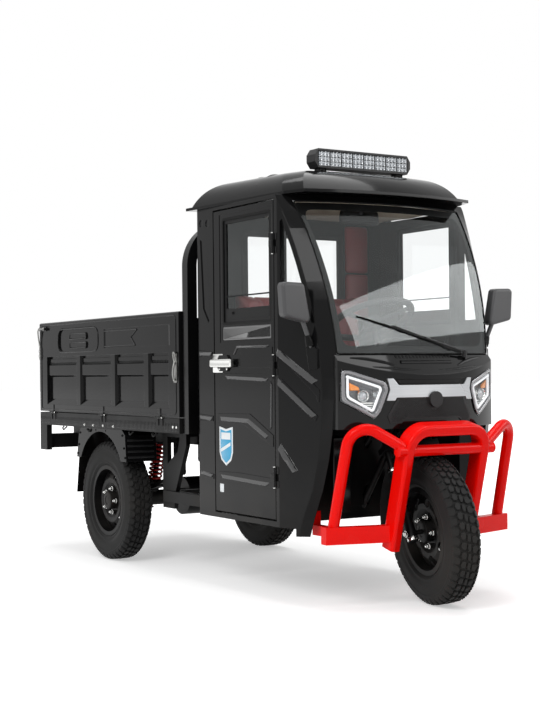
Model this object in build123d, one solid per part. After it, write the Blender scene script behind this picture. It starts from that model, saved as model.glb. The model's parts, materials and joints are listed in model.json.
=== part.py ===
"""Electric cargo tricycle: a narrow one-seat cab over a single steered wheel, and a drop-side bed over the
rear axle.

Millimetres. +X points forwards, +Y to the driver's left, +Z up. While the pieces are made, x is counted from
the rear axle and z from the ground; place_all() then moves everything so that the origin is on the ground
under the middle of the whole vehicle.
"""
import os
from math import cos, radians, sin, tan

from build123d import *

os.makedirs("parts", exist_ok=True)

# ---- general clearances ----
moving_gap = 5.0          # between a panel that swings and the frame round it
pin_gap = 0.1             # radial gap of a pin in its bore
seat_gap = 0.3            # between pieces that only rest beside each other

# ---- wheels ----
wheel_base = 1880.0
rear_track = 830.0
tyre_d = 564.0
tyre_w = 118.0
bead_w = 86.0             # tyre width where it sits in the rim
rim_seat_r = 152.0        # radius of the rim's bead seat
rim_flange_r = 167.0
rim_t = 4.0
flange_t = 5.0
hub_r = 42.0
hub_half_w = 45.0
slot_r = 116.0
rear_slots = (12, 18.0)     # number and width
front_slots = (7, 44.0)
nut_count = 5
nut_circle_r = 58.0
nut_r = 9.0
axle_r = 15.0
front_axle_r = 9.0
wheel_z = tyre_d / 2
rear_wheel_y = rear_track / 2

# ---- steering ----
rake = 25.0               # degrees, the steering axis leans back
steer_rest = -12.0        # degrees, the front wheel stands turned to the right
fork_half_w = 92.0        # middle plane of each fork leg
slider_r = 20.0
stanchion_r = 14.0
slider_top = tyre_d / 2 - 20.0     # distances along the steering axis from the wheel's centre
lower_yoke = tyre_d / 2 + 56.0
head_low = lower_yoke + 62.0
head_high = head_low + 140.0
upper_yoke = head_high + 35.0
yoke_t = 22.0
stem_r = 15.0
head_r = 30.0
column_r = 12.0
wheel_along = upper_yoke + 318.0       # distance of the steering wheel along its axis
hand_wheel_r = 165.0
hand_rim_r = 13.0
guard_r = tyre_d / 2 + 18.0           # inside of the front mudguard
guard_half_w = 72.0
guard_t = 3.0
guard_from = 84.0         # degrees round the wheel, from straight ahead
guard_to = 186.0

# ---- bed ----
bed_rear = -720.0
bed_front = 800.0
bed_half_w = 500.0
bed_floor_z = tyre_d + 126.0
bed_top = bed_floor_z + 457.0
sill_h = 65.0
sill_t = 28.0
floor_t = 4.0
gate_t = 30.0
hinge_out = 6.0           # gate hinge axis outside the gate's face
barrel_r = 5.5
gate_pin_r = 3.0
gate_hinge_x = (-550.0, 40.0, 620.0)
hinge_w = 60.0
gate_margin = 95.0        # of the lower recess from the gate's ends
recess_low = 37.0         # heights above the gate's lower edge
recess_high = 277.0
recess_depth = 16.0
stiffener_w = 59.0
stiffener_x = (-240.0, 150.0, 490.0)
beam_low = 177.0
beam_high = 238.0
strip_high = 265.0
crest_low = 302.0         # the upper recess and the raised field beside it
crest_high = 417.0
crest_depth = 6.0
post_w = 84.0
post_bottom = bed_floor_z - 194.0

lamp_inset = 60.0         # of a tail lamp from the bed's edge
lamp_w = 110.0

fender_rear = 10.0 - tyre_d / 2
fender_front = tyre_d / 2 - 6.0
fender_foot = wheel_z + 196.0
arch_z = wheel_z + 75.0
arch_r = tyre_d / 2 - 29.5
fender_inner_y = 338.0
sheet_t = 4.0

# ---- dampers beside the springs ----
damper_y = 222.0
damper_r = 13.0
damper_lean = 96.0



# ---- frame ----
rail_y = 295.0            # middle of the upper rails
rail_w = 46.0
rail_h = 60.0
spring_y = 280.0
drop_y = 365.0            # middle of the lower rails and drop plates
drop_t = 20.0
low_rail_w = 40.0
low_rail_z = (304.0, 354.0)
low_rail_front = 1600.0
drop_rear = 405.0
drop_front = 628.0
foot_z = 276.0
stay_half_w = 70.0

# ---- cab ----
cab_rear = 900.0
cab_half_w = 460.0
cab_top = 1566.0
cab_bottom = 290.0
wall_t = 30.0
door_post_w = 20.0
door_rear = 1037.0
door_front = 1500.0
door_bottom = 316.0
door_top = 1546.0
window_sill = 1080.0
window_top = 1509.0
window_rear = 1104.0
window_front = 1474.0
handle_x = (1044.0, 1206.0)
handle_z = (895.0, 949.0)
mirror_x = 1700.0
glass_t = 5.0
floor_sheet = 6.0
firewall_x = wheel_base - tyre_d / 2 - 53.0
stay_x = firewall_x - 37.0
quarter_angle = 14.04     # degrees, how far the front quarter turns inwards from the door's plane
quarter_window_sill = 1090.0
quarter_window_inset = 22.0
pillar_t = 26.0
screen_axis_x = 500.0     # upright axis the windscreen's curve is swept round
screen_arc = ((1827.0, 946.0), (1757.0, 1285.0), (1607.0, 1566.0))   # x, z on the centre line
screen_half_w = (362.0, 405.0)                                      # at the foot and at the head
seam_arc = ((1733.0, 946.0), (1661.0, 1240.0), (1514.0, 1566.0))     # where the pillar meets the quarter
screen_top = 1540.0
screen_rail = 26.0
pillar_steps = 9
# below the glass: height, x of the seam, x and half width of the pillar's front edge
pillar_foot = (
    (262.0, 1622.0, 1652.0, 404.0),
    (328.0, 1642.0, 1670.0, 396.0),
    (385.0, 1667.0, 1690.0, 389.0),
    (440.0, 1691.0, 1712.0, 384.0),
    (555.0, 1720.0, 1742.0, 376.0),
    (665.0, 1736.0, 1760.0, 371.0),
    (780.0, 1742.0, 1774.0, 367.0),
    (860.0, 1740.0, 1778.0, 364.0),
)
lamp_bar_half = 236.0
lamp_bar_x = 1428.0
roof_rear = 852.0
lip_t = 12.0
roof_ribs = (1010.0, 1100.0, 1190.0, 1280.0)
rear_glass_half_w = 250.0
rear_glass_z = (1100.0, 1480.0)
dash_rear = 1560.0
dash_low = 842.0

# ---- bull bar ----
hoop_leg_y = tyre_w / 2 + 119.0
hoop_bar_w = 42.0
hoop_bar_depth = 72.0
loop_r = 21.0

# ---- load hoop ----
hoop_t = 46.0
hoop_rear = 812.0
hoop_half_w = bed_half_w - 13.0
hoop_top = 1528.0
hoop_bend = 170.0
headboard_top = bed_top - 29.0
headboard_bottom = bed_floor_z - 45.0
headboard_t = 12.0

# pressings in the cab's sides, as outlines in x-z
press_rise = 2.5
quarter_bands = (
    ((1543.0, 965.0), (1729.0, 818.0), (1733.0, 806.0), (1730.0, 772.0), (1721.0, 772.0), (1716.0, 794.0),
     (1543.0, 938.0)),
    ((1543.0, 858.0), (1723.0, 719.0), (1712.0, 701.0), (1543.0, 831.0)),
    ((1543.0, 594.0), (1575.0, 566.0), (1616.0, 514.0), (1543.0, 553.0)),
)
pillar_bands = (
    ((908.0, 978.0), (1022.0, 972.0), (1022.0, 950.0), (908.0, 952.0)),
    ((908.0, 711.0), (1022.0, 706.0), (1022.0, 684.0), (908.0, 686.0)),
    ((908.0, 470.0), (1022.0, 466.0), (1022.0, 446.0), (908.0, 448.0)),
)
door_bands = (
    ((1262.0, 983.0), (1486.0, 983.0), (1486.0, 902.0), (1226.0, 902.0)),
    ((1068.0, 881.0), (1488.0, 879.0), (1488.0, 858.0), (1068.0, 858.0)),
    ((1068.0, 716.0), (1315.0, 720.0), (1488.0, 641.0), (1488.0, 596.0), (1262.0, 678.0), (1068.0, 678.0)),
    ((1068.0, 479.0), (1218.0, 483.0), (1488.0, 474.0), (1488.0, 440.0), (1068.0, 444.0)),
)
mirror_plate = ((1668.0, 1004.0), (1724.0, 968.0), (1728.0, 896.0), (1686.0, 892.0))
pillar_dimples = ((932.0, 1508.0), (984.0, 1504.0))
pillar_slot = ((922.0, 1446.0), (986.0, 1392.0), (1002.0, 1104.0), (988.0, 1092.0), (944.0, 1150.0))

damper_top = bed_floor_z - 94.0
quarter_rear = door_front + moving_gap + door_post_w
screen_foot_z = screen_arc[0][1]
nose_corner_x = screen_arc[0][0] - 37.0
nose_corner_y = screen_half_w[0] + 19.0
pivot = Vector(wheel_base, 0, wheel_z)
steer_dir = Vector(-sin(radians(rake)), 0, cos(radians(rake)))


# ---- helpers ----
def block(x, y, z):
    """A box between the (low, high) limits given for each axis."""
    spans = [high - low for low, high in (x, y, z)]
    middle = [(low + high) / 2 for low, high in (x, y, z)]
    return Pos(*middle) * Box(*spans)


def prism(axis, outline, low, high):
    """A straight-sided outline in the plane across an axis, extruded from low to high along it."""
    place = {
        "x": lambda a, b: (low, a, b),
        "y": lambda a, b: (a, low, b),
        "z": lambda a, b: (a, b, low),
    }[axis]
    along = {"x": (1, 0, 0), "y": (0, 1, 0), "z": (0, 0, 1)}[axis]
    face = make_face(Polyline(*[place(a, b) for a, b in outline], close=True))
    return extrude(face, amount=high - low, dir=along)


def rod(start, end, radius):
    """A round bar between two points."""
    start, end = Vector(*start), Vector(*end)
    plane = Plane(origin=start, z_dir=end - start)
    return plane * Cylinder(radius, (end - start).length, align=(Align.CENTER, Align.CENTER, Align.MIN))


def tube(start, end, outer, inner):
    """A round tube between two points."""
    return rod(start, end, outer) - rod(start, end, inner)


def bent_bar(points, radius, bends):
    """A round bar along straight runs joined by arcs."""
    path = FilletPolyline(*points, radius=bends)
    return sweep(Plane(path @ 0, z_dir=path % 0) * Circle(radius), path=path)


def mirrored(shape):
    """The same piece on the other side of the vehicle."""
    return mirror(shape, about=Plane.XZ)


def both(shape):
    """A piece and its mirror image."""
    return Compound([*shape.solids(), *mirrored(shape).solids()])


def on_steering(distance, lateral=0.0, ahead=0.0):
    """A point given along, beside and square ahead of the steering axis."""
    square = Vector(cos(radians(rake)), 0, sin(radians(rake)))
    return pivot + steer_dir * distance + Vector(0, lateral, 0) + square * ahead


def steered(shape):
    """Turn a piece about the steering axis to where it stands at rest."""
    return shape.rotate(Axis(pivot, steer_dir), steer_rest)


def spun(profile, x, y):
    """A solid of revolution about a wheel axle; the profile is (across, radius) pairs."""
    points = [(x, y + across, wheel_z + radius) for across, radius in profile]
    face = make_face(Polyline(*points, close=True))
    return revolve(face, axis=Axis((x, y, wheel_z), (0, 1, 0)), revolution_arc=360)


def side_y(x, depth=0.0):
    """y of the right side at x, a depth inside its outer face: straight beside the door, then turning in."""
    turn = radians(quarter_angle)
    if x <= quarter_rear - depth * tan(turn / 2):
        return -cab_half_w + depth
    return -cab_half_w + depth / cos(turn) + (x - quarter_rear) * tan(turn)


def side_band(outer, inner, outline):
    """The right side between two depths, within an outline in x-z."""
    bend = tan(radians(quarter_angle) / 2)
    front = screen_arc[0][0]
    plan = [(cab_rear, side_y(cab_rear, outer)), (quarter_rear - outer * bend, side_y(cab_rear, outer)),
            (front, side_y(front, outer)), (front, side_y(front, inner)),
            (quarter_rear - inner * bend, side_y(cab_rear, inner)), (cab_rear, side_y(cab_rear, inner))]
    return prism("z", plan, 0, cab_top + 100) & prism("y", outline, -cab_half_w - 50, 0)


def arc_x(arc, z):
    """x at a height on the arc through three (x, z) points."""
    edge = ThreePointArc(*[(x, 0, height) for x, height in arc])
    centre, radius = edge.arc_center, edge.radius
    return centre.X + (radius**2 - (z - centre.Z) ** 2) ** 0.5


def screen_half(z):
    """Half the width of the glass at a height."""
    share = (z - screen_foot_z) / (cab_top - screen_foot_z)
    return screen_half_w[0] + (screen_half_w[1] - screen_half_w[0]) * share


def screen_edge_x(z):
    """x of the glass's outer face at its side edge."""
    reach = arc_x(screen_arc, z) - screen_axis_x
    return screen_axis_x + (reach**2 - screen_half(z) ** 2) ** 0.5


def pillar_heights():
    """Heights, seam x, front x and front half width up the whole screen pillar."""
    rows = list(pillar_foot)
    for step in range(pillar_steps + 1):
        z = screen_foot_z + (cab_top - screen_foot_z) * step / pillar_steps
        rows.append((z, arc_x(seam_arc, z), screen_edge_x(z), screen_half(z)))
    return rows


# ---- wheels ----
def tyre(x, y):
    half, bead, crown = tyre_w / 2, bead_w / 2, tyre_d / 2
    section = [
        (-bead, rim_seat_r), (bead, rim_seat_r), (bead, rim_flange_r + seat_gap), (bead + 9, rim_flange_r + 9),
        (half, rim_seat_r + 62),
        (half - 1, crown - 38), (half - 6, crown - 12), (half - 20, crown - 3), (0, crown),
        (-half + 20, crown - 3), (-half + 6, crown - 12), (-half + 1, crown - 38), (-half, rim_seat_r + 62),
        (-bead - 9, rim_flange_r + 9), (-bead, rim_flange_r + seat_gap),
    ]
    return spun(section, x, y)


def rim(x, y, outward, bore, slots):
    """A pressed rim: barrel, two flanges, a dished disc with slots, nuts and a hub. outward is its face's side."""
    bead = bead_w / 2
    inner = rim_seat_r - rim_t
    barrel = spun([(-bead, inner), (bead, inner), (bead, rim_seat_r), (-bead, rim_seat_r)], x, y)
    for side in (-1, 1):
        a, b = side * bead, side * (bead + flange_t)
        barrel += spun([(a, inner), (b, inner), (b, rim_flange_r), (a, rim_flange_r)], x, y)
    dish = [(10, hub_r - 4), (12, 58), (28, 84), (30, 104), (16, 128), (4, inner + 1)]
    section = [(outward * a, r) for a, r in dish] + [(outward * (a - rim_t), r) for a, r in reversed(dish)]
    disc = spun(section, x, y)
    count, width = slots
    for step in range(count):
        angle = radians(360 * (step + 0.5) / count)
        at = (x + slot_r * cos(angle), wheel_z + slot_r * sin(angle))
        disc -= rod((at[0], y - tyre_w, at[1]), (at[0], y + tyre_w, at[1]), width / 2)
    hub = rod((x, y - hub_half_w, wheel_z), (x, y + hub_half_w, wheel_z), hub_r)
    for step in range(nut_count):
        angle = radians(360 * step / nut_count)
        at = (x + nut_circle_r * cos(angle), wheel_z + nut_circle_r * sin(angle))
        disc += rod((at[0], y + outward * 8, at[1]), (at[0], y + outward * 30, at[1]), nut_r)
    hole = rod((x, y - tyre_w, wheel_z), (x, y + tyre_w, wheel_z), bore)
    return barrel + disc + hub - hole


def rear_axle():
    """Housing, differential, motor and the two stub ends that carry the wheels."""
    inner_end = rear_wheel_y - hub_half_w - seat_gap
    housing = rod((0, -inner_end + 12, wheel_z), (0, inner_end - 12, wheel_z), 36)
    for side in (-1, 1):
        drum = rod((0, side * (inner_end - 38), wheel_z), (0, side * inner_end, wheel_z), 88)
        stub = rod((0, side * (inner_end - 2), wheel_z), (0, side * (rear_wheel_y + hub_half_w + 3), wheel_z),
                   axle_r)
        housing += drum + stub
        foot, head = (0, side * damper_y, wheel_z + 20), (damper_lean, side * damper_y, damper_top)
        housing += rod(foot, head, damper_r)
        housing += rod((damper_lean, side * damper_y, damper_top - 8),
                       (damper_lean, side * (rail_y - rail_w / 2 - seat_gap), damper_top - 8), 8)
    casing = rod((0, -62, wheel_z), (0, 58, wheel_z), 92)
    motor = rod((20, 58, wheel_z + 20), (20, 238, wheel_z + 20), 78)
    return housing + casing + motor


def leaf_springs():
    """One spring pack a side, from its front eye to its shackle, clamped on the axle housing."""
    reach, rise, leaf = 390.0, 88.0, 8.0
    seat = wheel_z + 36
    pack = None
    for step in range(4):
        share = 1 - 0.22 * step
        low = seat + leaf * (3 - step)
        arc_low = ThreePointArc((-reach * share, spring_y - 24, low + rise * share**2), (0, spring_y - 24, low),
                                (reach * share, spring_y - 24, low + rise * share**2))
        arc_high = ThreePointArc((reach * share, spring_y - 24, low + leaf + rise * share**2),
                                 (0, spring_y - 24, low + leaf),
                                 (-reach * share, spring_y - 24, low + leaf + rise * share**2))
        edge = make_face(arc_low + Line(arc_low @ 1, arc_high @ 0) + arc_high + Line(arc_high @ 1, arc_low @ 0))
        blade = extrude(edge, amount=48, dir=(0, 1, 0))
        pack = blade if pack is None else pack + blade
    clamp_low = seat - 78
    for x in (-42, 42):
        for y in (-31, 31):
            pack += rod((x, spring_y + y, clamp_low), (x, spring_y + y, seat + 52), 6)
    pack += block((-52, 52), (spring_y - 38, spring_y + 38), (seat + 4 * leaf, seat + 4 * leaf + 12))
    pack += block((-52, 52), (spring_y - 38, spring_y + 38), (clamp_low - 2, clamp_low + 4))
    eye_z = seat + 3 * leaf + rise + 2
    rail_low = bed_floor_z - sill_h - rail_h
    for x in (-reach, reach):
        pack += rod((x, spring_y - 24, eye_z), (x, spring_y + 24, eye_z), 17)
        pack += block((x - 15, x + 15), (spring_y - 24, spring_y + 24), (eye_z, rail_low))
    housing = rod((0, -rear_wheel_y, wheel_z), (0, rear_wheel_y, wheel_z), 36)
    return both(pack - housing)


# ---- frame ----
def main_frame():
    """Upper rails under the bed, drop plates, lower rails under the cab, and the head tube."""
    top = bed_floor_z - sill_h
    half = rail_w / 2
    frame = None
    for side in (-1, 1):
        upper = block((bed_rear + 30, drop_front), sorted((side * (rail_y - half), side * (rail_y + half))),
                      (top - rail_h, top))
        outline = [(drop_rear, top), (drop_front, top), (drop_front, top - 62), (drop_rear + 108, 330),
                   (drop_rear + 108, foot_z), (drop_rear, foot_z)]
        hole = [(drop_rear + 46, top - 28), (drop_front - 60, top - 28), (drop_front - 82, top - 92),
                (drop_rear + 46, top - 150)]
        lows = sorted((side * (drop_y - drop_t / 2), side * (drop_y + drop_t / 2)))
        plate = prism("y", outline, *lows) - prism("y", hole, lows[0] - 1, lows[1] + 1)
        tie = block((drop_rear, drop_front), sorted((side * rail_y, side * drop_y)), (top - 24, top))
        low_rail = block((drop_rear + 20, low_rail_front),
                         sorted((side * (drop_y - low_rail_w / 2), side * (drop_y + low_rail_w / 2))), low_rail_z)
        piece = upper + plate + tie + low_rail
        frame = piece if frame is None else frame + piece
    span = rail_y + half
    for x in (bed_rear + 30, -300, 300, drop_front - 40):
        frame += block((x, x + 40), (-span, span), (top - rail_h, top))
    for x in (drop_rear + 40, 900, 1230, 1490):
        frame += block((x, x + 40), (-drop_y, drop_y), low_rail_z)
    beam_z = (504.0, 576.0)
    frame += block((bed_rear + 8, bed_rear + 48), (-bed_half_w + sill_t, bed_half_w - sill_t), beam_z)
    for side in (-1, 1):
        frame += block((bed_rear + 8, bed_rear + 48), sorted((side * (rail_y - half), side * (rail_y + half))),
                       (beam_z[0], top))
    frame += head_stays(1.0)
    frame += rod(on_steering(head_low), on_steering(head_high), head_r)
    return frame - rod(on_steering(head_low - 5), on_steering(head_high + 5), stem_r + pin_gap)


def head_stays(swell):
    """The tubes that carry the head tube from the cab frame's front cross member; swell grows their radius."""
    stays = None
    for side in (-1, 1):
        foot = (stay_x, side * stay_half_w, low_rail_z[0] + 25)
        knee = (stay_x, side * stay_half_w, 560.0)
        low_end = tuple(on_steering(head_low + 20, side * 14, -22))
        high_end = tuple(on_steering(head_high - 20, side * 14, -22))
        piece = rod(foot, low_end, 14 * swell) + rod(foot, knee, 12 * swell) + rod(knee, high_end, 12 * swell)
        stays = piece if stays is None else stays + piece
    return stays


# ---- steering ----
def front_fork():
    """Fork legs on their yokes, the axle, the stem in the head tube and the column."""
    fork = rod((wheel_base, -fork_half_w - 26, wheel_z), (wheel_base, fork_half_w + 26, wheel_z), front_axle_r)
    for side in (-1, 1):
        y = side * fork_half_w
        fork += rod(on_steering(-34, y), on_steering(slider_top, y), slider_r)
        fork += rod(on_steering(slider_top - 10, y), on_steering(upper_yoke, y), stanchion_r)
    for distance in (lower_yoke, upper_yoke):
        plane = Plane(origin=on_steering(distance), z_dir=steer_dir, x_dir=(0, 1, 0))
        fork += plane * Box(2 * fork_half_w + 50, 58, yoke_t)
    fork += rod(on_steering(lower_yoke), on_steering(upper_yoke), stem_r)
    return fork + rod(on_steering(upper_yoke), on_steering(wheel_along - 10), column_r)


def front_mudguard():
    """A curved shell over the tyre, carried by two stays on the fork legs."""
    outer = rod((wheel_base, -guard_half_w, wheel_z), (wheel_base, guard_half_w, wheel_z), guard_r + guard_t)
    shell = outer - rod((wheel_base, -guard_half_w, wheel_z), (wheel_base, guard_half_w, wheel_z), guard_r)
    reach = 2 * guard_r
    ends = [radians(guard_from), radians((guard_from + guard_to) / 2), radians(guard_to)]
    wedge = [(wheel_base, wheel_z)] + [
        (wheel_base + reach * cos(a), wheel_z + reach * sin(a)) for a in ends
    ]
    shell = shell & prism("y", wedge, -guard_half_w, guard_half_w)
    for side in (-1, 1):
        shell += rod(on_steering(guard_r + 6, side * (guard_half_w - 12)),
                     on_steering(guard_r + 6, side * (fork_half_w - stanchion_r - seat_gap)), 6)
    return shell


def steering_wheel():
    """The driver's wheel: rim, three spokes and a boss, square to the steering axis."""
    plane = Plane(origin=on_steering(wheel_along), z_dir=steer_dir, x_dir=(0, 1, 0))
    ring = Torus(hand_wheel_r, hand_rim_r)
    boss = Pos(0, 0, -18) * Cylinder(34, 44)
    spokes = None
    for angle in (90, 210, 330):
        a = radians(angle)
        spoke = rod((30 * cos(a), 30 * sin(a), -14), (hand_wheel_r * cos(a), hand_wheel_r * sin(a), 0), 9)
        spokes = spoke if spokes is None else spokes + spoke
    wheel = ring + boss + spokes - Pos(0, 0, -30) * Cylinder(column_r + pin_gap, 44)
    return plane * wheel


# ---- bed ----
def hinge_lugs(x, y_out, carried_by):
    """The fixed half or the moving half of one bottom hinge of the right gate, centred at x."""
    z = bed_floor_z
    y = -y_out - hinge_out
    third = hinge_w / 3
    if carried_by == "floor":
        piece = None
        for a, b in ((-1.5 * third, -0.5 * third - seat_gap), (0.5 * third + seat_gap, 1.5 * third)):
            barrel = rod((x + a, y, z), (x + b, y, z), barrel_r)
            strap = block((x + a, x + b), (y, -y_out + 1), (z - 34, z))
            strap = strap & block((x + a, x + b), (y - barrel_r, -y_out + 1), (z - 34, z))
            lug = barrel + block((x + a, x + b), (-y_out - 3, -y_out), (z - 34, z)) \
                + block((x + a, x + b), (y, -y_out), (z - barrel_r, z - 1))
            piece = lug if piece is None else piece + lug
        return piece + rod((x - 1.5 * third, y, z), (x + 1.5 * third, y, z), gate_pin_r)
    barrel = rod((x - 0.5 * third, y, z), (x + 0.5 * third, y, z), barrel_r)
    leaf = block((x - 0.5 * third, x + 0.5 * third), (-y_out - 3, -y_out), (z + moving_gap, z + 40))
    neck = block((x - 0.5 * third, x + 0.5 * third), (y, -y_out), (z + 1, z + moving_gap + 3))
    bore = rod((x - hinge_w, y, z), (x + hinge_w, y, z), gate_pin_r + pin_gap)
    return barrel + neck + leaf - bore


def turned_to_rear(shape):
    """Turn a right-gate piece about the vertical so that it serves the tailgate."""
    return shape.rotate(Axis.Z, -90)


def bed_floor():
    """Floor sheet on its sills and cross bearers, with the gates' fixed hinge halves."""
    low = bed_floor_z - sill_h
    floor = block((bed_rear, bed_front), (-bed_half_w, bed_half_w), (bed_floor_z - floor_t, bed_floor_z))
    for side in (-1, 1):
        edge = side * bed_half_w
        floor += block((bed_rear, bed_front), sorted((edge, edge - side * sill_t)), (low, bed_floor_z))
        floor += block((bed_rear, bed_rear + post_w), sorted((edge, edge - side * sill_t)), (post_bottom, low))
    for x in (bed_rear, -380, 0, 380, bed_front - sill_t):
        floor += block((x, x + sill_t), (-bed_half_w, bed_half_w), (low, bed_floor_z))
    for x in gate_hinge_x:
        lug = hinge_lugs(x, bed_half_w, "floor")
        floor += lug + mirrored(lug)
    for y in (-300.0, 300.0):
        floor += turned_to_rear(hinge_lugs(y, -bed_rear, "floor"))
    return floor


def hat(x, depth, low, high, width):
    """An upright stiffener of hat section on the recess's floor, centred at x."""
    half = width / 2
    return prism("z", [(x - half - 8, depth + 1), (x - half - 8, depth - 1), (x - half, depth - 1),
                       (x - half + 8, 1), (x + half - 8, 1), (x + half, depth - 1), (x + half + 8, depth - 1),
                       (x + half + 8, depth + 1)], low, high)


def gate_panel(length, height, stiffeners, crest):
    """A pressed drop side lying in x-z with its outside at y = 0; crest is the x span of its upper pressing."""
    panel = block((0, length), (0, gate_t), (0, height))
    panel = chamfer(panel.edges().filter_by(Axis.X).group_by(Axis.Z)[-1], 5)
    inner = recess_depth
    pocket = prism("x", [(-1, recess_low - 4), (inner, recess_low + 26), (inner, recess_high), (-1, recess_high)],
                   gate_margin, length - gate_margin)
    panel -= pocket
    for x in stiffeners:
        panel += hat(x, inner, recess_low - 2, recess_high + 1, stiffener_w) & block(
            (0, length), (0, gate_t), (recess_low - 2, recess_high + 1))
    panel += prism("x", [(inner + 1, beam_low - 4), (inner - 9, beam_low + 6), (inner - 9, beam_high - 5),
                         (inner + 1, beam_high)], gate_margin - 1, length - gate_margin + 1)
    panel += block((gate_margin - 1, length - gate_margin + 1), (inner - 5, inner + 1),
                   (beam_high + 9, strip_high))
    # upper pressing: a rounded recess with two raised bars, and a shallow field beside it
    low, high = crest
    middle, rise = (low + high) / 2, (crest_low + crest_high) / 2
    plate = Plane(origin=(middle, -1, rise), z_dir=(0, 1, 0), x_dir=(1, 0, 0))
    panel -= extrude(plate * RectangleRounded(high - low, crest_high - crest_low, 48), amount=1 + crest_depth)
    for z in (rise + 18, rise - 26):
        panel += prism("z", [(middle - 100, crest_depth + 1), (middle - 92, 1.5), (middle + 92, 1.5),
                             (middle + 100, crest_depth + 1)], z - 12, z + 14)
    if length - high > 400:
        field = [(high + 60, -1), (high + 75, 3.5), (length - 95, 3.5), (length - 80, -1)]
        panel -= prism("z", field, crest_low + 8, crest_high - 18)
    # the inside face is pressed too
    panel -= block((70, length - 70), (gate_t - 4, gate_t + 1), (60, recess_high - 30))
    return panel


def side_gate():
    """The right drop side with its moving hinge halves and its corner latches."""
    height = bed_top - bed_floor_z - moving_gap
    length = bed_front - bed_rear
    panel = gate_panel(length, height, [x - bed_rear for x in stiffener_x], (240.0, 713.0))
    gate = Pos(bed_rear, -bed_half_w, bed_floor_z + moving_gap) * panel
    for x in gate_hinge_x:
        gate += hinge_lugs(x, bed_half_w, "gate")
    latch_z = bed_top - 42
    gate += block((bed_rear + 8, bed_rear + 96), (-bed_half_w - 5, -bed_half_w), (latch_z, latch_z + 22))
    gate += rod((bed_rear + 14, -bed_half_w - 9, latch_z + 11), (bed_rear + 84, -bed_half_w - 9, latch_z + 11), 6)
    return gate


def tailgate():
    """The rear drop side, between the two side gates."""
    half = bed_half_w - gate_t - moving_gap - 2
    height = bed_top - bed_floor_z - moving_gap
    panel = gate_panel(2 * half, height, (half - 140, half + 140), (half - 180, half + 180))
    panel = Pos(-half, bed_rear, bed_floor_z + moving_gap) * panel
    for y in (-300.0, 300.0):
        panel += hinge_lugs(y, -bed_rear, "gate")
    return turned_to_rear(panel)


def load_hoop():
    """A square tube hoop at the front of the bed."""
    y = hoop_half_w - hoop_t / 2
    x = hoop_rear + hoop_t / 2
    low = bed_floor_z - sill_h
    path = FilletPolyline((x, -y, low), (x, -y, hoop_top - hoop_t / 2), (x, y, hoop_top - hoop_t / 2), (x, y, low),
                          radius=hoop_bend)
    hoop = sweep(Plane((x, -y, low), z_dir=(0, 0, 1)) * Rectangle(hoop_t, hoop_t), path=path)
    feet = block((bed_front, hoop_rear + 1), (-y - 20, -y + 20), (low, low + 50))
    return hoop + feet + mirrored(feet)


def headboard():
    """The flat panel that closes the front of the bed inside the hoop."""
    x = hoop_rear + 10
    y = hoop_half_w - hoop_t
    panel = block((x, x + headboard_t), (-y, y), (headboard_bottom, headboard_top))
    return panel


def rear_fenders():
    """A sheet arch over each rear wheel with a flat outer plate cut round the wheel."""
    top = bed_floor_z - sill_h
    outline = [(fender_rear, fender_foot), (fender_rear + 28, top - 25), (fender_rear + 52, top),
               (fender_front - 46, top), (fender_front - 12, top - 25), (fender_front, fender_foot)]
    inside = [(fender_rear + sheet_t, fender_foot - 1), (fender_rear + 28 + sheet_t, top - 25),
              (fender_rear + 52 + sheet_t, top - sheet_t), (fender_front - 46 - sheet_t, top - sheet_t),
              (fender_front - 12 - sheet_t, top - 25), (fender_front - sheet_t, fender_foot - 1)]
    outer = -bed_half_w + 4
    shell = prism("y", outline, outer, -fender_inner_y) - prism("y", inside, outer - 1, -fender_inner_y + 1)
    plate = prism("y", outline, outer, outer + sheet_t)
    plate -= rod((-3, outer - 1, arch_z), (-3, outer + 20, arch_z), arch_r)
    for x in (-150.0, -50.0, 60.0):
        plate -= rod((x, outer - 1, top - 9), (x, outer + 20, top - 9), 5)
    fender = shell + plate
    return both(max(fender.solids(), key=lambda solid: solid.volume))


def mud_flaps():
    """A rubber flap behind each rear wheel."""
    lean = 28 / (bed_floor_z - sill_h - 25 - fender_foot)
    rear, low = fender_rear, fender_foot
    outline = [(rear + 22 * lean - seat_gap, low + 22), (rear - seat_gap, low), (rear - 30, wheel_z + 20), (rear - 36, wheel_z + 20),
               (rear - 6, low), (rear + 22 * lean - 6, low + 22)]
    return both(prism("y", outline, -bed_half_w + sill_t - 10, -345))


# ---- cab ----
def screen_band(depth, low, high):
    """Part of the windscreen's swept surface, from its outer face inwards by a depth."""
    lows, mid, tops = ((x, 0, z) for x, z in screen_arc)
    face_arc = ThreePointArc(lows, mid, tops)
    centre, radius = face_arc.arc_center, face_arc.radius
    inner = [(centre.X + (x - centre.X) * (radius - depth) / radius, 0,
              centre.Z + (z - centre.Z) * (radius - depth) / radius) for x, _, z in (lows, mid, tops)]
    back_arc = ThreePointArc(*reversed(inner))
    face = make_face(face_arc + Line(tops, inner[2]) + back_arc + Line(inner[0], lows))
    band = revolve(face.rotate(Axis((screen_axis_x, 0, 0), (0, 0, 1)), -40),
                   axis=Axis((screen_axis_x, 0, 0), (0, 0, 1)), revolution_arc=80)
    wedge = prism("x", [(-screen_half(low), low), (screen_half(low), low), (screen_half(high), high),
                        (-screen_half(high), high)], screen_axis_x, 2 * screen_arc[0][0])
    return band & wedge


def swept(outline):
    """An outline in x-z turned through the front of the cab about the windscreen's upright axis."""
    face = make_face(Polyline(*[(x, 0, z) for x, z in outline], close=True))
    axis = Axis((screen_axis_x, 0, 0), (0, 0, 1))
    return revolve(face.rotate(axis, -40), axis=axis, revolution_arc=80)


def glass_x(y, z):
    """x of the windscreen's outer face."""
    return screen_axis_x + ((arc_x(screen_arc, z) - screen_axis_x) ** 2 - y**2) ** 0.5


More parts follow.
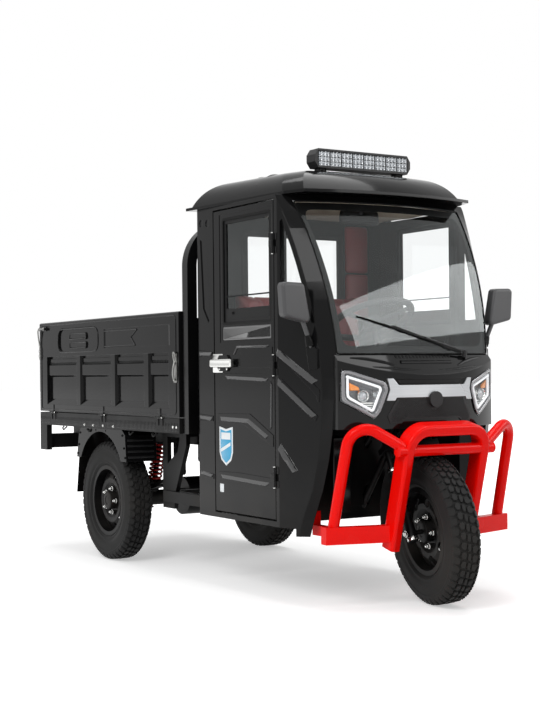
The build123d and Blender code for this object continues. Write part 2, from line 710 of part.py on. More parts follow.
def windscreen():
    return screen_band(glass_t, screen_foot_z, screen_top)


def screen_pillar():
    """The right windscreen pillar, from its foot beside the front wheel to the roof."""
    sections = []
    for z, seam_x, front_x, front_half in pillar_heights():
        corners = [(seam_x, side_y(seam_x)), (front_x, -front_half), (max(front_x - pillar_t, seam_x + 1), -front_half),
                   (seam_x, side_y(seam_x, wall_t))]
        sections.append(make_face(Polyline(*[(x, y, z) for x, y in corners], close=True)))
    return loft(sections, ruled=True)


def quarter_window():
    """The small fixed window between the door and the screen pillar, in x-z."""
    rear = quarter_rear + 14
    rows = [row for row in pillar_heights() if quarter_window_sill < row[0] < 1480]
    front = [(row[1] - quarter_window_inset, row[0]) for row in rows]
    foot = (arc_x(seam_arc, quarter_window_sill) - quarter_window_inset, quarter_window_sill)
    return [(rear, quarter_window_sill), foot] + front + [(rear + 14, front[-1][1] + 42), (rear, front[-1][1] + 30)]


def pressed(outlines, rise):
    """Bands pressed outwards in the right side, each an outline in x-z."""
    bands = [side_band(-rise, 2, outline) for outline in outlines]
    whole = bands[0]
    for band in bands[1:]:
        whole += band
    return whole


def cab_side():
    """The right side of the cab: rear pillar, header, sill and the front quarter with its window and pressings."""
    edge = [(row[1], row[0]) for row in pillar_heights()]
    outline = [(cab_rear, cab_bottom), (edge[0][0] - 14, cab_bottom), (edge[0][0] - 14, edge[0][1])] + edge \
        + [(cab_rear, cab_top)]
    side = side_band(0, wall_t, outline)
    side -= block((door_rear - moving_gap, door_front + moving_gap), (-cab_half_w - 1, -cab_half_w + wall_t + 1),
                  (door_bottom - moving_gap, door_top + moving_gap))
    side -= prism("y", quarter_window(), -cab_half_w - 1, 0)
    side += pressed(quarter_bands, press_rise)
    side += pressed(pillar_bands, press_rise)
    side += pressed([mirror_plate], 7)
    for x, z in pillar_dimples:
        side -= rod((x, -cab_half_w - 1, z), (x, -cab_half_w + 3, z), 15)
    side -= prism("y", pillar_slot, -cab_half_w - 1, -cab_half_w + 4)
    for z in door_hinge_z():
        side += door_hinge(z, "pillar")
    return side


def door_hinge_z():
    return (480.0, 910.0, 1378.0)


def door_hinge(z, carried_by):
    """One half of a lift-off hinge on the right door's front edge."""
    x = door_front + moving_gap / 2
    y = -cab_half_w - hinge_out
    third = 26.0
    if carried_by == "pillar":
        piece = None
        for a, b in ((-1.5 * third, -0.5 * third - seat_gap), (0.5 * third + seat_gap, 1.5 * third)):
            barrel = rod((x, y, z + a), (x, y, z + b), barrel_r)
            leaf = block((x + moving_gap / 2, quarter_rear - 1), (-cab_half_w - 3, -cab_half_w + 1), (z + a, z + b))
            neck = block((x, x + barrel_r + 3), (y - 1, -cab_half_w + 1), (z + a, z + b))
            lug = barrel + leaf + neck
            piece = lug if piece is None else piece + lug
        return piece + rod((x, y, z - 1.5 * third), (x, y, z + 1.5 * third), gate_pin_r)
    barrel = rod((x, y, z - 0.5 * third), (x, y, z + 0.5 * third), barrel_r)
    leaf = block((x - 34, x - moving_gap / 2), (-cab_half_w - 3, -cab_half_w + 1), (z - 0.5 * third, z + 0.5 * third))
    neck = block((x - barrel_r - 3, x - moving_gap / 2), (y - 1, -cab_half_w + 1),
                 (z - 0.5 * third, z + 0.5 * third))
    bore = rod((x, y, z - third), (x, y, z + third), gate_pin_r + pin_gap)
    return barrel + leaf + neck - bore


def door():
    """The right door leaf with its window opening, pressings, hinge halves and handle."""
    outside, inside = -cab_half_w, -cab_half_w + wall_t
    leaf = block((door_rear, door_front), (outside, inside), (door_bottom, door_top))
    leaf = chamfer(leaf.faces().sort_by(Axis.Y)[0].edges(), 2.5)
    leaf -= block((window_rear - 20, window_front + 14), (outside - 1, outside + 2), (window_sill - 74, window_top + 18))
    leaf -= block((window_rear, window_front), (outside - 1, outside + 6), (window_sill - 66, window_sill - 10))
    leaf -= block((window_rear, window_front), (outside - 1, inside + 1), (window_sill, window_top))
    leaf -= block((door_rear + 40, door_front - 40), (inside - 5, inside + 1), (door_bottom + 50, window_sill - 40))
    leaf += pressed(door_bands, press_rise)
    for z in door_hinge_z():
        leaf += door_hinge(z, "door")
    handle_mid = (handle_z[0] + handle_z[1]) / 2
    plate = block((handle_x[0] + 26, handle_x[1] - 44), (outside - 7, outside), (handle_z[0] - 6, handle_z[1] + 6))
    leaf += chamfer(plate.edges().filter_by(Axis.Y), 16)
    lever = block((handle_x[0] - 4, handle_x[1] + 2), (outside - 26, outside - 13), (handle_mid - 15, handle_mid + 15))
    leaf += chamfer(lever.edges().filter_by(Axis.Y), 9)
    for x in (handle_x[0] + 34, handle_x[1] - 72):
        leaf += block((x, x + 22), (outside - 15, outside - 5), (handle_mid - 11, handle_mid + 11))
    return leaf


def door_glass():
    middle = -cab_half_w + wall_t / 2
    return block((window_rear, window_front), (middle - glass_t / 2, middle + glass_t / 2), (window_sill, window_top))


def side_glass():
    middle = wall_t / 2
    return both(side_band(middle - glass_t / 2, middle + glass_t / 2, quarter_window()))


def windscreen_frame():
    """Both screen pillars with the rail over the glass and the one under it."""
    pillar = screen_pillar()
    head = screen_band(screen_rail, screen_top, cab_top)
    sill = screen_band(screen_rail, screen_foot_z, screen_foot_z + 8) - windscreen()
    return pillar + mirrored(pillar) + head + sill


def cab_rear_wall():
    """The wall behind the seat with its window opening."""
    half = cab_half_w - wall_t
    wall = block((cab_rear, cab_rear + wall_t), (-half, half), (low_rail_z[1], cab_top))
    return wall - block((cab_rear - 1, cab_rear + wall_t + 1), (-rear_glass_half_w, rear_glass_half_w), rear_glass_z)


def rear_glass():
    middle = cab_rear + wall_t / 2
    return block((middle - glass_t / 2, middle + glass_t / 2), (-rear_glass_half_w, rear_glass_half_w), rear_glass_z)


def steering_room():
    """What the fork's yokes and the column sweep through, with a margin all round."""
    reach = ((fork_half_w + 25) ** 2 + 29**2) ** 0.5 + moving_gap
    return rod(on_steering(slider_top), on_steering(upper_yoke + yoke_t / 2 + moving_gap), reach) \
        + rod(on_steering(upper_yoke), on_steering(wheel_along + 100), column_r + 2 * moving_gap)


def cab_floor():
    """The floor pan on the lower rails and the front wall of the footwell, open round the fork."""
    top = low_rail_z[1]
    half = cab_half_w - wall_t - 15
    front_half = half - 12
    pan = block((cab_rear + wall_t, firewall_x - 60), (-half, half), (top, top + floor_sheet))
    pan += block((firewall_x - 60, firewall_x), (-front_half, front_half), (top, top + floor_sheet))
    wall = block((firewall_x - 6, firewall_x), (-front_half, front_half), (top, 640))
    slope = prism("y", [(firewall_x - 6, 636), (firewall_x, 636), (dash_rear + 34, dash_low), (dash_rear + 28, dash_low)],
                  -front_half + 12, front_half - 12)
    return pan + wall + slope - steering_room() - head_stays(1.6)


def seat_base():
    top = low_rail_z[1] + floor_sheet
    outer = block((cab_rear + wall_t + 6, 1270), (-350, 350), (top, 600))
    return outer - block((cab_rear + wall_t + 14, 1262), (-342, 342), (top - 1, 592))


def battery_pack():
    top = low_rail_z[1] + floor_sheet
    return block((970, 1240), (-300, 300), (top, 575))


def seat_cushion():
    cushion = block((cab_rear + wall_t + 6, 1300), (-345, 345), (600 + seat_gap, 690))
    return fillet(cushion.edges().filter_by(Axis.Z), 30)


def seat_back():
    low, high = 690 + seat_gap, 1262
    x = cab_rear + wall_t + 6
    back = prism("y", [(x, low), (x + 110, low), (x + 62, high), (x, high)], -340, 340)
    return back


def dashboard():
    """A hollow shelf under the windscreen, open round the steering column."""
    half = screen_half_w[0] - 22
    outline = [(dash_rear, dash_low + 90), (dash_rear, dash_low), (dash_rear + 60, dash_low),
               (screen_arc[0][0] - 105, dash_low + 20), (screen_arc[0][0] - 105, screen_foot_z - 12),
               (dash_rear + 90, dash_low + 115)]
    shelf = prism("y", outline, -half, half)
    inside = [(dash_rear + 6, dash_low + 84), (dash_rear + 6, dash_low + 6), (dash_rear + 58, dash_low + 6),
              (screen_arc[0][0] - 111, dash_low + 26), (screen_arc[0][0] - 111, screen_foot_z - 19),
              (dash_rear + 92, dash_low + 108)]
    shelf -= prism("y", inside, -half + 6, half - 6)
    return shelf - steering_room()


def roof():
    """The roof moulding: a flat lip all round, a long visor and a raised dome."""
    def layer(z, inset, rear, front, bow):
        rear_y, front_y, tip_y = 487 - inset, 432 - inset, 400 - inset
        edge = (Line((rear, -rear_y, z), (front - 165, -front_y, z))
                + Line((front - 165, -front_y, z), (front - 65, -tip_y, z))
                + ThreePointArc((front - 65, -tip_y, z), (front - 65 + bow, 0, z), (front - 65, tip_y, z))
                + Line((front - 65, tip_y, z), (front - 165, front_y, z))
                + Line((front - 165, front_y, z), (rear, rear_y, z))
                + Line((rear, rear_y, z), (rear, -rear_y, z)))
        return make_face(edge)

    lip = extrude(layer(cab_top, 0, roof_rear, 1697, 62), amount=lip_t, dir=(0, 0, 1))
    dome = loft([layer(cab_top + lip_t, 18, roof_rear + 18, 1660, 55), layer(cab_top + 78, 60, roof_rear + 73, 1600, 45),
                 layer(cab_top + 110, 130, roof_rear + 153, 1520, 30)])
    hollow = loft([layer(cab_top - 1, 60, 940, 1600, 50), layer(cab_top + 74, 90, 965, 1560, 40)])
    shell = lip + dome - hollow
    for x in roof_ribs:
        half = 330.0
        height = cab_top + 97
        shell += bent_bar([(x, -half - 62, cab_top + 52), (x, -half + 6, height), (x, half - 6, height),
                           (x, half + 62, cab_top + 52)], 18, 48)
    return shell


def light_bar():
    """A long lamp housing with bevelled ends, cooling fins behind and a recessed front, on two feet."""
    half, low, high = lamp_bar_half, 1692.0, 1768.0
    outline = [(-half + 16, low), (half - 16, low), (half, low + 24), (half, high - 24), (half - 16, high),
               (-half + 16, high), (-half, high - 24), (-half, low + 24)]
    bar = prism("x", outline, lamp_bar_x - 30, lamp_bar_x + 32)
    bar -= block((lamp_bar_x + 24, lamp_bar_x + 40), (-half + 14, half - 14), (low + 8, high - 8))
    for z in (1704.0, 1717.0, 1730.0, 1743.0, 1756.0):
        bar -= block((lamp_bar_x - 31, lamp_bar_x - 18), (-half + 24, half - 24), (z - 3.5, z + 3.5))
    for y in (-190, 190):
        bar += block((lamp_bar_x - 14, lamp_bar_x + 14), (y - 12, y + 12), (1676.0, 1694))
        bar += block((lamp_bar_x - 24, lamp_bar_x + 24), (y - 22, y + 22), (1676.0, 1680))
    return bar


def nose_plan(grow, low, high):
    """The nose body's plan outline, grown outwards, as a solid between two heights."""
    back = screen_arc[0][0] - 74
    side = nose_corner_y - 8 + grow
    edge = (Line((back, -side, low), (nose_corner_x + 4, -side + 2, low))
            + ThreePointArc((nose_corner_x + 4, -side + 2, low), (1895 + grow, 0, low),
                            (nose_corner_x + 4, side - 2, low))
            + Line((nose_corner_x + 4, side - 2, low), (back, side, low))
            + Line((back, side, low), (back, -side, low)))
    return extrude(make_face(edge), amount=high - low, dir=(0, 0, 1))


nose_low = 668.0
nose_disc_z = 776.0
nose_disc_r = 30.0


def nose_shell(pillars):
    """The black nose moulding: cowl under the windscreen, face and cheeks, open behind and below."""
    outer = nose_plan(0, nose_low, screen_foot_z)
    inner = nose_plan(-6, nose_low - 1, screen_foot_z + 1)
    shell = outer - inner
    top, front, brow = screen_arc[0], 1905.0, 858.0
    fall = (top[1] - brow) / (front - top[0])
    cowl = swept([(top[0] - 8, top[1]), top, (front, brow), (front, brow - 7), (top[0] - 8, top[1] - 9)])
    above = swept([(top[0] - 300, top[1]), top, (front + 100, brow - 100 * fall), (front + 100, 1200),
                   (top[0] - 300, 1200)])
    shell = shell - above + (cowl & outer)
    shell -= prism("x", headlamp_outline(), 1700, 2000)
    shell -= prism("x", [(-y, z) for y, z in headlamp_outline()], 1700, 2000)
    shell -= windscreen_frame()
    for pillar in pillars:
        shell -= pillar
    shell -= cab_side()
    shell -= mirrored(cab_side())
    return max(shell.solids(), key=lambda s: s.volume)


def headlamp_outline():
    """The right headlamp seen from ahead, in y-z."""
    return [(-362, 889), (-338, 889), (-206, 843), (-196, 815), (-228, 730), (-250, 706), (-366, 775)]


def headlamps(pillars):
    """Two wedge-shaped lamps that follow the nose's curve."""
    slab = nose_plan(5, nose_low, screen_foot_z) - nose_plan(-40, nose_low - 1, screen_foot_z + 1)
    lamp = slab & prism("x", headlamp_outline(), 1760, 2000)
    for pillar in pillars:
        lamp -= pillar
    return both(max(lamp.solids(), key=lambda s: s.volume))


def nose_slab(outline, thickness):
    """A trim plate that lies on the nose's face within an outline in y-z."""
    skin = nose_plan(thickness, nose_low, screen_foot_z) - nose_plan(0, nose_low - 1, screen_foot_z + 1)
    return skin & prism("x", outline, 1780, 2000)


def nose_disc(grow=0.0):
    """The plain round cover in the middle of the nose."""
    return rod((1880, 0, nose_disc_z), (1912 + grow, 0, nose_disc_z), nose_disc_r + grow)


def nose_trim():
    """The silver bar between the lamps, with a horn at each end."""
    half = [(178, 856), (200, 856), (190, 815), (203, 774), (172, 774), (165, 785)]
    outline = [(157, 831)] + half + [(-y, z) for y, z in reversed(half)] + [(-157, 831)]
    return nose_slab(outline, 7) - nose_disc(seat_gap)


def nose_grille():
    """The textured panel under the bar, with the round cover."""
    half = [(160, 784.7), (200, 716), (190, 688), (147, 688), (128, 703)]
    panel = nose_slab(half + [(-y, z) for y, z in reversed(half)], 4)
    return panel + (nose_disc() - nose_plan(0, nose_low, screen_foot_z))


def lower_fairings():
    """The dark splash panels beside the front wheel."""
    outline = [(1734, -354), (1738, -351), (1722, -266), (1640, -208), (firewall_x, -204), (firewall_x, -208),
               (1638, -212), (1718, -270)]
    return both(prism("z", outline, low_rail_z[1] + 1, 634))


def nose_shell_top():
    """The room under the cowl, down from its face."""
    top, front, brow = screen_arc[0], 1905.0, 858.0
    return swept([(top[0] - 8, top[1] + seat_gap), (top[0], top[1] + seat_gap), (front, brow + seat_gap),
                  (front, brow - 100), (top[0] - 8, brow - 100)])


def wiper():
    """One arm and its blade, parked across the glass."""
    blade = [(150, 965), (57, 994), (-37, 1023), (-130, 1052)]
    knots = [(glass_x(y, z) + 6.2, y, z) for y, z in blade]
    arm_end = (glass_x(10, 1009) + 12, 10.0, 1009.0)
    pivot_at = (screen_arc[0][0] - 2, 210.0)
    piece = rod((*pivot_at, 934.0), (*pivot_at, 962.0), 9) + rod((*pivot_at, 956), arm_end, 4.5)
    for start, end in zip(knots, knots[1:]):
        piece += rod(start, end, 5)
    return piece - nose_shell_top()


def mirrors():
    """A door mirror on an arm from the plate on each front quarter."""
    head = prism("x", [(-560, 1217), (-462, 1214), (-430, 1060), (-552, 1088)], mirror_x - 19, mirror_x + 19)
    head = fillet(head.edges().filter_by(Axis.X), 18)
    head = fillet(head.faces().sort_by(Axis.X)[-1].edges(), 12)
    head -= prism("x", [(-548, 1206), (-470, 1203), (-443, 1072), (-541, 1098)], mirror_x - 20, mirror_x - 16)
    arm = rod((mirror_x, -462, 1076), (mirror_x - 8, -410, 960), 9) - screen_pillar() - cab_side()
    return both(head + max(arm.solids(), key=lambda piece: piece.volume))


def bull_bar():
    """A tall flat-tube hoop with a round loop each side, joined by flat lower bars."""
    foot = (wheel_base - 28, 0, 222.0)
    top = (wheel_base + 88, 0, tyre_d + 104)
    lean = Vector(top[0] - foot[0], 0, top[2] - foot[2]).normalized()
    y = hoop_leg_y
    path = FilletPolyline((foot[0], -y, foot[2]), (top[0], -y, top[2]), (top[0], y, top[2]), (foot[0], y, foot[2]),
                          radius=78)
    section = Plane(origin=(foot[0], -y, foot[2]), z_dir=lean, x_dir=(0, 1, 0)) \
        * RectangleRounded(hoop_bar_w, hoop_bar_depth, 13)
    bar = sweep(section, path=path)
    cross_x, cross_z = wheel_base + 82, tyre_d + 26
    bar += rod((cross_x, -y - 48, cross_z), (cross_x, y + 48, cross_z), loop_r)
    for side in (-1, 1):
        loop = [(wheel_base - 90, side * 396, 300), (wheel_base + 18, side * 384, tyre_d + 152),
                (wheel_base + 78, side * (y + 18), cross_z + 14)]
        bar += bent_bar(loop, loop_r, 72)
        lower = prism("z", [(wheel_base - 112, side * 434), (wheel_base - 72, side * 438),
                            (wheel_base, side * (y + 2)), (wheel_base - 38, side * (y - 2))], 248, 312)
        bar += lower
        arm = sorted((side * (drop_y - 39), side * (drop_y - 5)))
        bar += block((low_rail_front + seat_gap, wheel_base - 80), arm, (262, 300))
        bar += block((low_rail_front + seat_gap, low_rail_front + 8), arm, (262, low_rail_z[1] - 2))
    return bar


def tail_lamps():
    """A lamp at each end of the rear beam."""
    low = lamp_inset - bed_half_w
    lamp = block((bed_rear + 2, bed_rear + 8), (low, low + lamp_w), (515, 565))
    return both(lamp)


# ---- assembly ----
def make_nodes():
    right_side = cab_side()
    sides = (right_side, mirrored(right_side))
    right_pillar = screen_pillar()
    pillars = (right_pillar, mirrored(right_pillar))
    rear_right = (0.0, -rear_wheel_y)
    rear_left = (0.0, rear_wheel_y)
    front = (wheel_base, 0.0)
    gate, leaf, pane = side_gate(), door(), door_glass()
    nodes = {
        "main_frame": main_frame(),
        "rear_axle": rear_axle(),
        "leaf_springs": leaf_springs(),
        "bed_floor": bed_floor(),
        "load_hoop": load_hoop() + headboard(),
        "rear_fenders": rear_fenders(),
        "mud_flaps": mud_flaps(),
        "tail_lamps": tail_lamps(),
        "cab_floor": cab_floor(),
        "cab_sides": Compound([*sides[0].solids(), *sides[1].solids()]),
        "cab_rear_wall": cab_rear_wall(),
        "windscreen_frame": windscreen_frame(),
        "windscreen": windscreen(),
        "fixed_windows": Compound([*side_glass().solids(), *rear_glass().solids()]),
        "roof": roof(),
        "light_bar": light_bar(),
        "nose_shell": nose_shell(pillars),
        "headlamps": headlamps(pillars),
        "nose_trim": nose_trim(),
        "nose_grille": nose_grille(),
        "lower_fairings": lower_fairings(),
        "wiper": wiper(),
        "mirrors": mirrors(),
        "dashboard": dashboard(),
        "seat_base": seat_base(),
        "battery_pack": battery_pack(),
        "seat_cushion": seat_cushion(),
        "seat_back": seat_back(),
        "bull_bar": bull_bar(),
        "front_fork": steered(front_fork()),
        "front_mudguard": steered(front_mudguard()),
        "front_tyre": steered(tyre(*front)),
        "front_rim": steered(rim(*front, -1, front_axle_r + pin_gap, front_slots)),
        "steering_wheel": steered(steering_wheel()),
        "rear_tyre_right": tyre(*rear_right),
        "rear_rim_right": rim(*rear_right, -1, axle_r + pin_gap, rear_slots),
        "rear_tyre_left": tyre(*rear_left),
        "rear_rim_left": rim(*rear_left, 1, axle_r + pin_gap, rear_slots),
        "door_right": leaf,
        "door_glass_right": pane,
        "door_left": mirrored(leaf),
        "door_glass_left": mirrored(pane),
        "side_gate_right": gate,
        "side_gate_left": mirrored(gate),
        "tailgate": tailgate(),
    }
    return nodes


def place_all(nodes):
    """Move everything so that x = 0 is the middle of the whole vehicle and the lowest tyre is at z = 0."""
    boxes = [shape.bounding_box() for shape in nodes.values()]
    rear = min(box.min.X for box in boxes)
    front = max(box.max.X for box in boxes)
    shift = -(rear + front) / 2
    print(f"shift_x {shift:.4f}")
    return {name: Pos(shift, 0, 0) * shape for name, shape in nodes.items()}


for node, shape in place_all(make_nodes()).items():
    export_step(shape, f"parts/{node}.step")
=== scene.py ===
"""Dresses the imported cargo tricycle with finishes, treads, lamps, glass and padding, and sets it in a studio."""

import json
import logging
import math
from dataclasses import dataclass
from enum import Enum
from typing import Any, Callable, Iterable, Mapping, Optional, Sequence, Union

import bmesh
import bpy
from mathutils import Matrix, Vector
from mathutils.bvhtree import BVHTree


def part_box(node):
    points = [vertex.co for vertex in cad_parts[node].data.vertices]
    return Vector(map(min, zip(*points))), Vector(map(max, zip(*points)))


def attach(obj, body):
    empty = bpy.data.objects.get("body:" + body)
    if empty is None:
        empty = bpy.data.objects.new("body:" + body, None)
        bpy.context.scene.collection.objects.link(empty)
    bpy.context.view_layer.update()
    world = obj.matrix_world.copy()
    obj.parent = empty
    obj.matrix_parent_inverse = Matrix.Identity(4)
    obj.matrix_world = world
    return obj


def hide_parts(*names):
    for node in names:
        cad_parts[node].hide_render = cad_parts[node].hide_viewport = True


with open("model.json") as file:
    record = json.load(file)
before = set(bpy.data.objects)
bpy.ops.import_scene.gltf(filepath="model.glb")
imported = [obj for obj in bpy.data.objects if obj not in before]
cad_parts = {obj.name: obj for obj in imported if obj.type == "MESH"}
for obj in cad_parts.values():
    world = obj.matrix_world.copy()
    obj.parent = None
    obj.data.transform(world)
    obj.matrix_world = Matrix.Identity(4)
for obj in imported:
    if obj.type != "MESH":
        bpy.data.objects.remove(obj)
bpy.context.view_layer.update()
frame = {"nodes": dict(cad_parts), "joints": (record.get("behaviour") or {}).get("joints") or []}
LOG = logging.getLogger("tricycle")

Pair = tuple[float, float]
Triple = tuple[float, float, float]
Outline = Sequence[Pair]
Shape = Union[Outline, Callable[[float], Outline]]
Place = Callable[[float, float, float], Vector]

DUST_SHADE: Triple = (0.5, 0.47, 0.43)
COAT_ROUGHNESS = 0.05


def linear(shade: Triple) -> tuple[float, float, float, float]:
    """Turns a display colour into the linear one that a shader takes.

    Args:
        shade: Red, green and blue from 0 to 1, as a screen shows them.

    Returns:
        The linear colour with an alpha of 1.
    """
    return (*(c / 12.92 if c <= 0.04045 else ((c + 0.055) / 1.055) ** 2.4 for c in shade), 1.0)


def maths(operation: str, swapped: bool = False) -> Callable[..., "Flow"]:
    """Makes a method that adds a Math node to a flow's graph.

    Args:
        operation: Blender's name of the operation.
        swapped: Whether the other term comes first, as a reflected operator needs.

    Returns:
        The method, which takes the other term if the operation has one.
    """

    def method(self: "Flow", *other: Any) -> "Flow":
        terms = (*other, self) if swapped else (self, *other)
        return self.graph.node("ShaderNodeMath", {"operation": operation}, dict(enumerate(terms)))

    return method


class Flow:
    """An output socket that takes part in arithmetic, on either side of an operator."""

    def __init__(self, graph: "Graph", socket: Any) -> None:
        """Wraps a socket of a graph."""
        self.graph, self.socket = graph, socket

    __add__, __radd__ = maths("ADD"), maths("ADD", True)
    __sub__, __rsub__ = maths("SUBTRACT"), maths("SUBTRACT", True)
    __mul__, __rmul__ = maths("MULTIPLY"), maths("MULTIPLY", True)
    __truediv__, __rtruediv__ = maths("DIVIDE"), maths("DIVIDE", True)
    __pow__, most, sine = maths("POWER"), maths("MAXIMUM"), maths("SINE")

    def of(self, name: Union[str, int]) -> "Flow":
        """Another output of the same node."""
        return Flow(self.graph, self.socket.node.outputs[name])

    def step(self, low: float, high: float, a: float = 0.0, b: float = 1.0) -> "Flow":
        """Maps this smoothly from one range to another.

        Args:
            low: The value that gives a.
            high: The value that gives b.
            a: The result at or below low.
            b: The result at or above high.

        Returns:
            The mapped value.
        """
        values = {0: self, 1: low, 2: high, 3: a, 4: b}
        return self.graph.node("ShaderNodeMapRange", {"interpolation_type": "SMOOTHSTEP"}, values)


class Graph:
    """The node tree of one material or of the world."""

    def __init__(self, tree: bpy.types.NodeTree) -> None:
        """Takes over a tree and empties it."""
        self.tree = tree
        tree.nodes.clear()

    def node(
        self,
        kind: str,
        settings: Optional[Mapping[str, Any]] = None,
        values: Optional[Mapping[Union[str, int], Any]] = None,
        out: Union[str, int] = 0,
    ) -> Flow:
        """Adds a node, sets it, then fills its sockets.

        Args:
            kind: The node's type.
            settings: Its properties.
            values: A number, colour or flow for each socket named.
            out: The output that is wanted.

        Returns:
            That output, or the first input of a node that has no output.
        """
        made = self.tree.nodes.new(kind)
        for name, value in (settings or {}).items():
            setattr(made, name, value)
        for name, value in (values or {}).items():
            if isinstance(value, Flow):
                self.tree.links.new(value.socket, made.inputs[name])
            else:
                made.inputs[name].default_value = value
        return Flow(self, made.outputs[out] if made.outputs else made.inputs[0])

    def place(self) -> Flow:
        """Where the point is on the vehicle at rest, in metres."""
        return self.node("ShaderNodeTexCoord", out="Object")

    def axes(self, vector: Flow) -> tuple[Flow, Flow, Flow]:
        """The three parts of a vector."""
        split = self.node("ShaderNodeSeparateXYZ", values={0: vector})
        return split, split.of(1), split.of(2)

    def noise(self, vector: Flow, scale: float, detail: float = 2.0, roughness: float = 0.5) -> Flow:
        """Soft noise around 0.5."""
        values = {"Vector": vector, "Scale": scale, "Detail": detail, "Roughness": roughness}
        return self.node("ShaderNodeTexNoise", values=values)

    def mix(self, share: Any, first: Any, second: Any) -> Flow:
        """A colour between two, by share."""
        return self.node("ShaderNodeMix", {"data_type": "RGBA"}, {0: share, 6: first, 7: second}, 2)

    def unlit(self) -> Flow:
        """1 for rays that should see the plain surround, else 0."""
        rays = self.node("ShaderNodeLightPath")
        return rays.of("Is Camera Ray").most(rays.of("Is Glossy Ray")).most(rays.of("Is Transmission Ray"))


@dataclass(frozen=True)
class Finish:
    """A finish, with the small unevenness, dust and rounded edges that every one has.

    Args:
        name: The material's name.
        shade: Its colour as a screen shows it.
        rough: Its roughness.
        metal: How metallic it is.
        coat: The weight of its clear coat.
        mottle: How far the colour wanders.
        grain: The scale of its fine grain, per metre.
        grain_depth: The depth of that grain in metres.
        edge: The radius that its edges are rounded to, in metres.
        dust: How much dust lies low down.
        wear: How much the edges are rubbed.
        gloss: The strength of its plain reflection.
        glow: How strongly it shines by itself.
    """

    name: str
    shade: Triple
    rough: float = 0.4
    metal: float = 0.0
    coat: float = 0.0
    mottle: float = 0.12
    grain: float = 260.0
    grain_depth: float = 0.0
    edge: float = 0.0015
    dust: float = 0.15
    wear: float = 0.2
    gloss: float = 0.35
    glow: float = 0.0

    def pattern(self, graph: Graph, place: Flow) -> tuple[Flow, Flow]:
        """The finish's own fine pattern.

        Args:
            graph: The material's nodes.
            place: The point on the vehicle.

        Returns:
            A height from 0 to 1, and how much a pattern darkens the colour.
        """
        fine = graph.noise(place, self.grain, 3.0, 0.6)
        return fine, fine.step(0.35, 0.75, 0.0, 0.15)

    def surface(self, graph: Graph) -> Flow:
        """The finish's shader."""
        place = graph.place()
        cloud = graph.noise(place, 2.3, 4.0, 0.6)
        height, dark = self.pattern(graph, place)
        dusty = graph.axes(place)[2].step(0.75, 0.02) * cloud.step(0.42, 0.72) * self.dust
        base = linear(self.shade)
        pale = (*(min(1.0, c * 1.8 + 0.01) for c in base[:3]), 1.0)
        shade = graph.mix(dark, base, (*(c * 0.55 for c in base[:3]), 1.0))
        shade = graph.mix(cloud.step(0.3, 0.7, 0.0, self.mottle), shade, pale)
        shade = graph.mix(dusty * 0.5, shade, linear(DUST_SHADE))
        normal = graph.node("ShaderNodeBevel", {"samples": 4}, {"Radius": self.edge})
        if self.wear:
            plain = graph.node("ShaderNodeNewGeometry", out="Normal")
            turn = graph.node("ShaderNodeVectorMath", {"operation": "DOT_PRODUCT"}, {0: normal, 1: plain}, "Value")
            rubbed = (1 - turn).step(0.02, 0.22) * cloud.step(0.35, 0.75) * self.wear
            shade = graph.mix(rubbed, shade, linear(tuple(min(1.0, c * 0.6 + 0.28) for c in self.shade)))
        rough = cloud.step(0.25, 0.75, self.rough * 0.85, self.rough * 1.2) + dusty * 0.35
        if self.grain_depth:
            relief = {"Height": height, "Distance": self.grain_depth, "Strength": 1.0, "Normal": normal}
            normal = graph.node("ShaderNodeBump", values=relief)
        values = {
            "Base Color": shade,
            "Roughness": rough,
            "Metallic": self.metal,
            "Coat Weight": self.coat,
            "Coat Roughness": COAT_ROUGHNESS,
            "Specular IOR Level": self.gloss,
            "Normal": normal,
        }
        if self.glow:
            values |= {"Emission Color": base, "Emission Strength": self.glow}
        return graph.node("ShaderNodeBsdfPrincipled", values=values)

    def material(self) -> bpy.types.Material:
        """The material of this finish, made once."""
        if self.name in bpy.data.materials:
            return bpy.data.materials[self.name]
        made = bpy.data.materials.new(self.name)
        made.use_nodes = True
        graph = Graph(made.node_tree)
        graph.node("ShaderNodeOutputMaterial", values={"Surface": self.surface(graph)})
        return made


@dataclass(frozen=True)
class Glazing(Finish):
    """Clear sheet, which lets most light straight through.

    Args:
        clear: The least share of light that it throws back.
    """

    clear: float = 0.055

    def surface(self, graph: Graph) -> Flow:
        """A mirror whose share grows towards the rim, over a sheet that lets light through."""
        smear = graph.noise(graph.place(), 7.0, 3.0, 0.55)
        rough = smear.step(0.3, 0.8, self.rough, self.rough + 0.05)
        values = {"Base Color": linear(self.shade), "Metallic": 1.0, "Roughness": rough}
        shine = graph.node("ShaderNodeBsdfPrincipled", values=values)
        facing = graph.node("ShaderNodeLayerWeight", values={"Blend": 0.5}, out="Facing")
        outward = 1 - graph.node("ShaderNodeNewGeometry", out="Backfacing")
        share = (facing**5 * 0.6 + self.clear + smear.step(0.5, 0.8, 0.0, 0.015)) * outward
        through = graph.node("ShaderNodeBsdfTransparent", values={"Color": linear((0.996, 0.998, 0.998))})
        return graph.node("ShaderNodeMixShader", values={0: share, 1: through, 2: shine})


@dataclass(frozen=True)
class Ground(Finish):
    """The studio's floor, which is matt under the vehicle and melts into the surround further out."""

    def surface(self, graph: Graph) -> Flow:
        """A matt shader with a glow that grows with the distance from the vehicle."""
        matt = graph.node("ShaderNodeBsdfDiffuse", values={"Color": linear(self.shade)})
        reach = graph.node("ShaderNodeVectorMath", {"operation": "LENGTH"}, {0: graph.place()}, "Value")
        glow = graph.node("ShaderNodeEmission", values={"Strength": graph.unlit() * reach.step(2.0, 4.5, 0.42, 1.0)})
        return graph.node("ShaderNodeAddShader", values={0: matt, 1: glow})


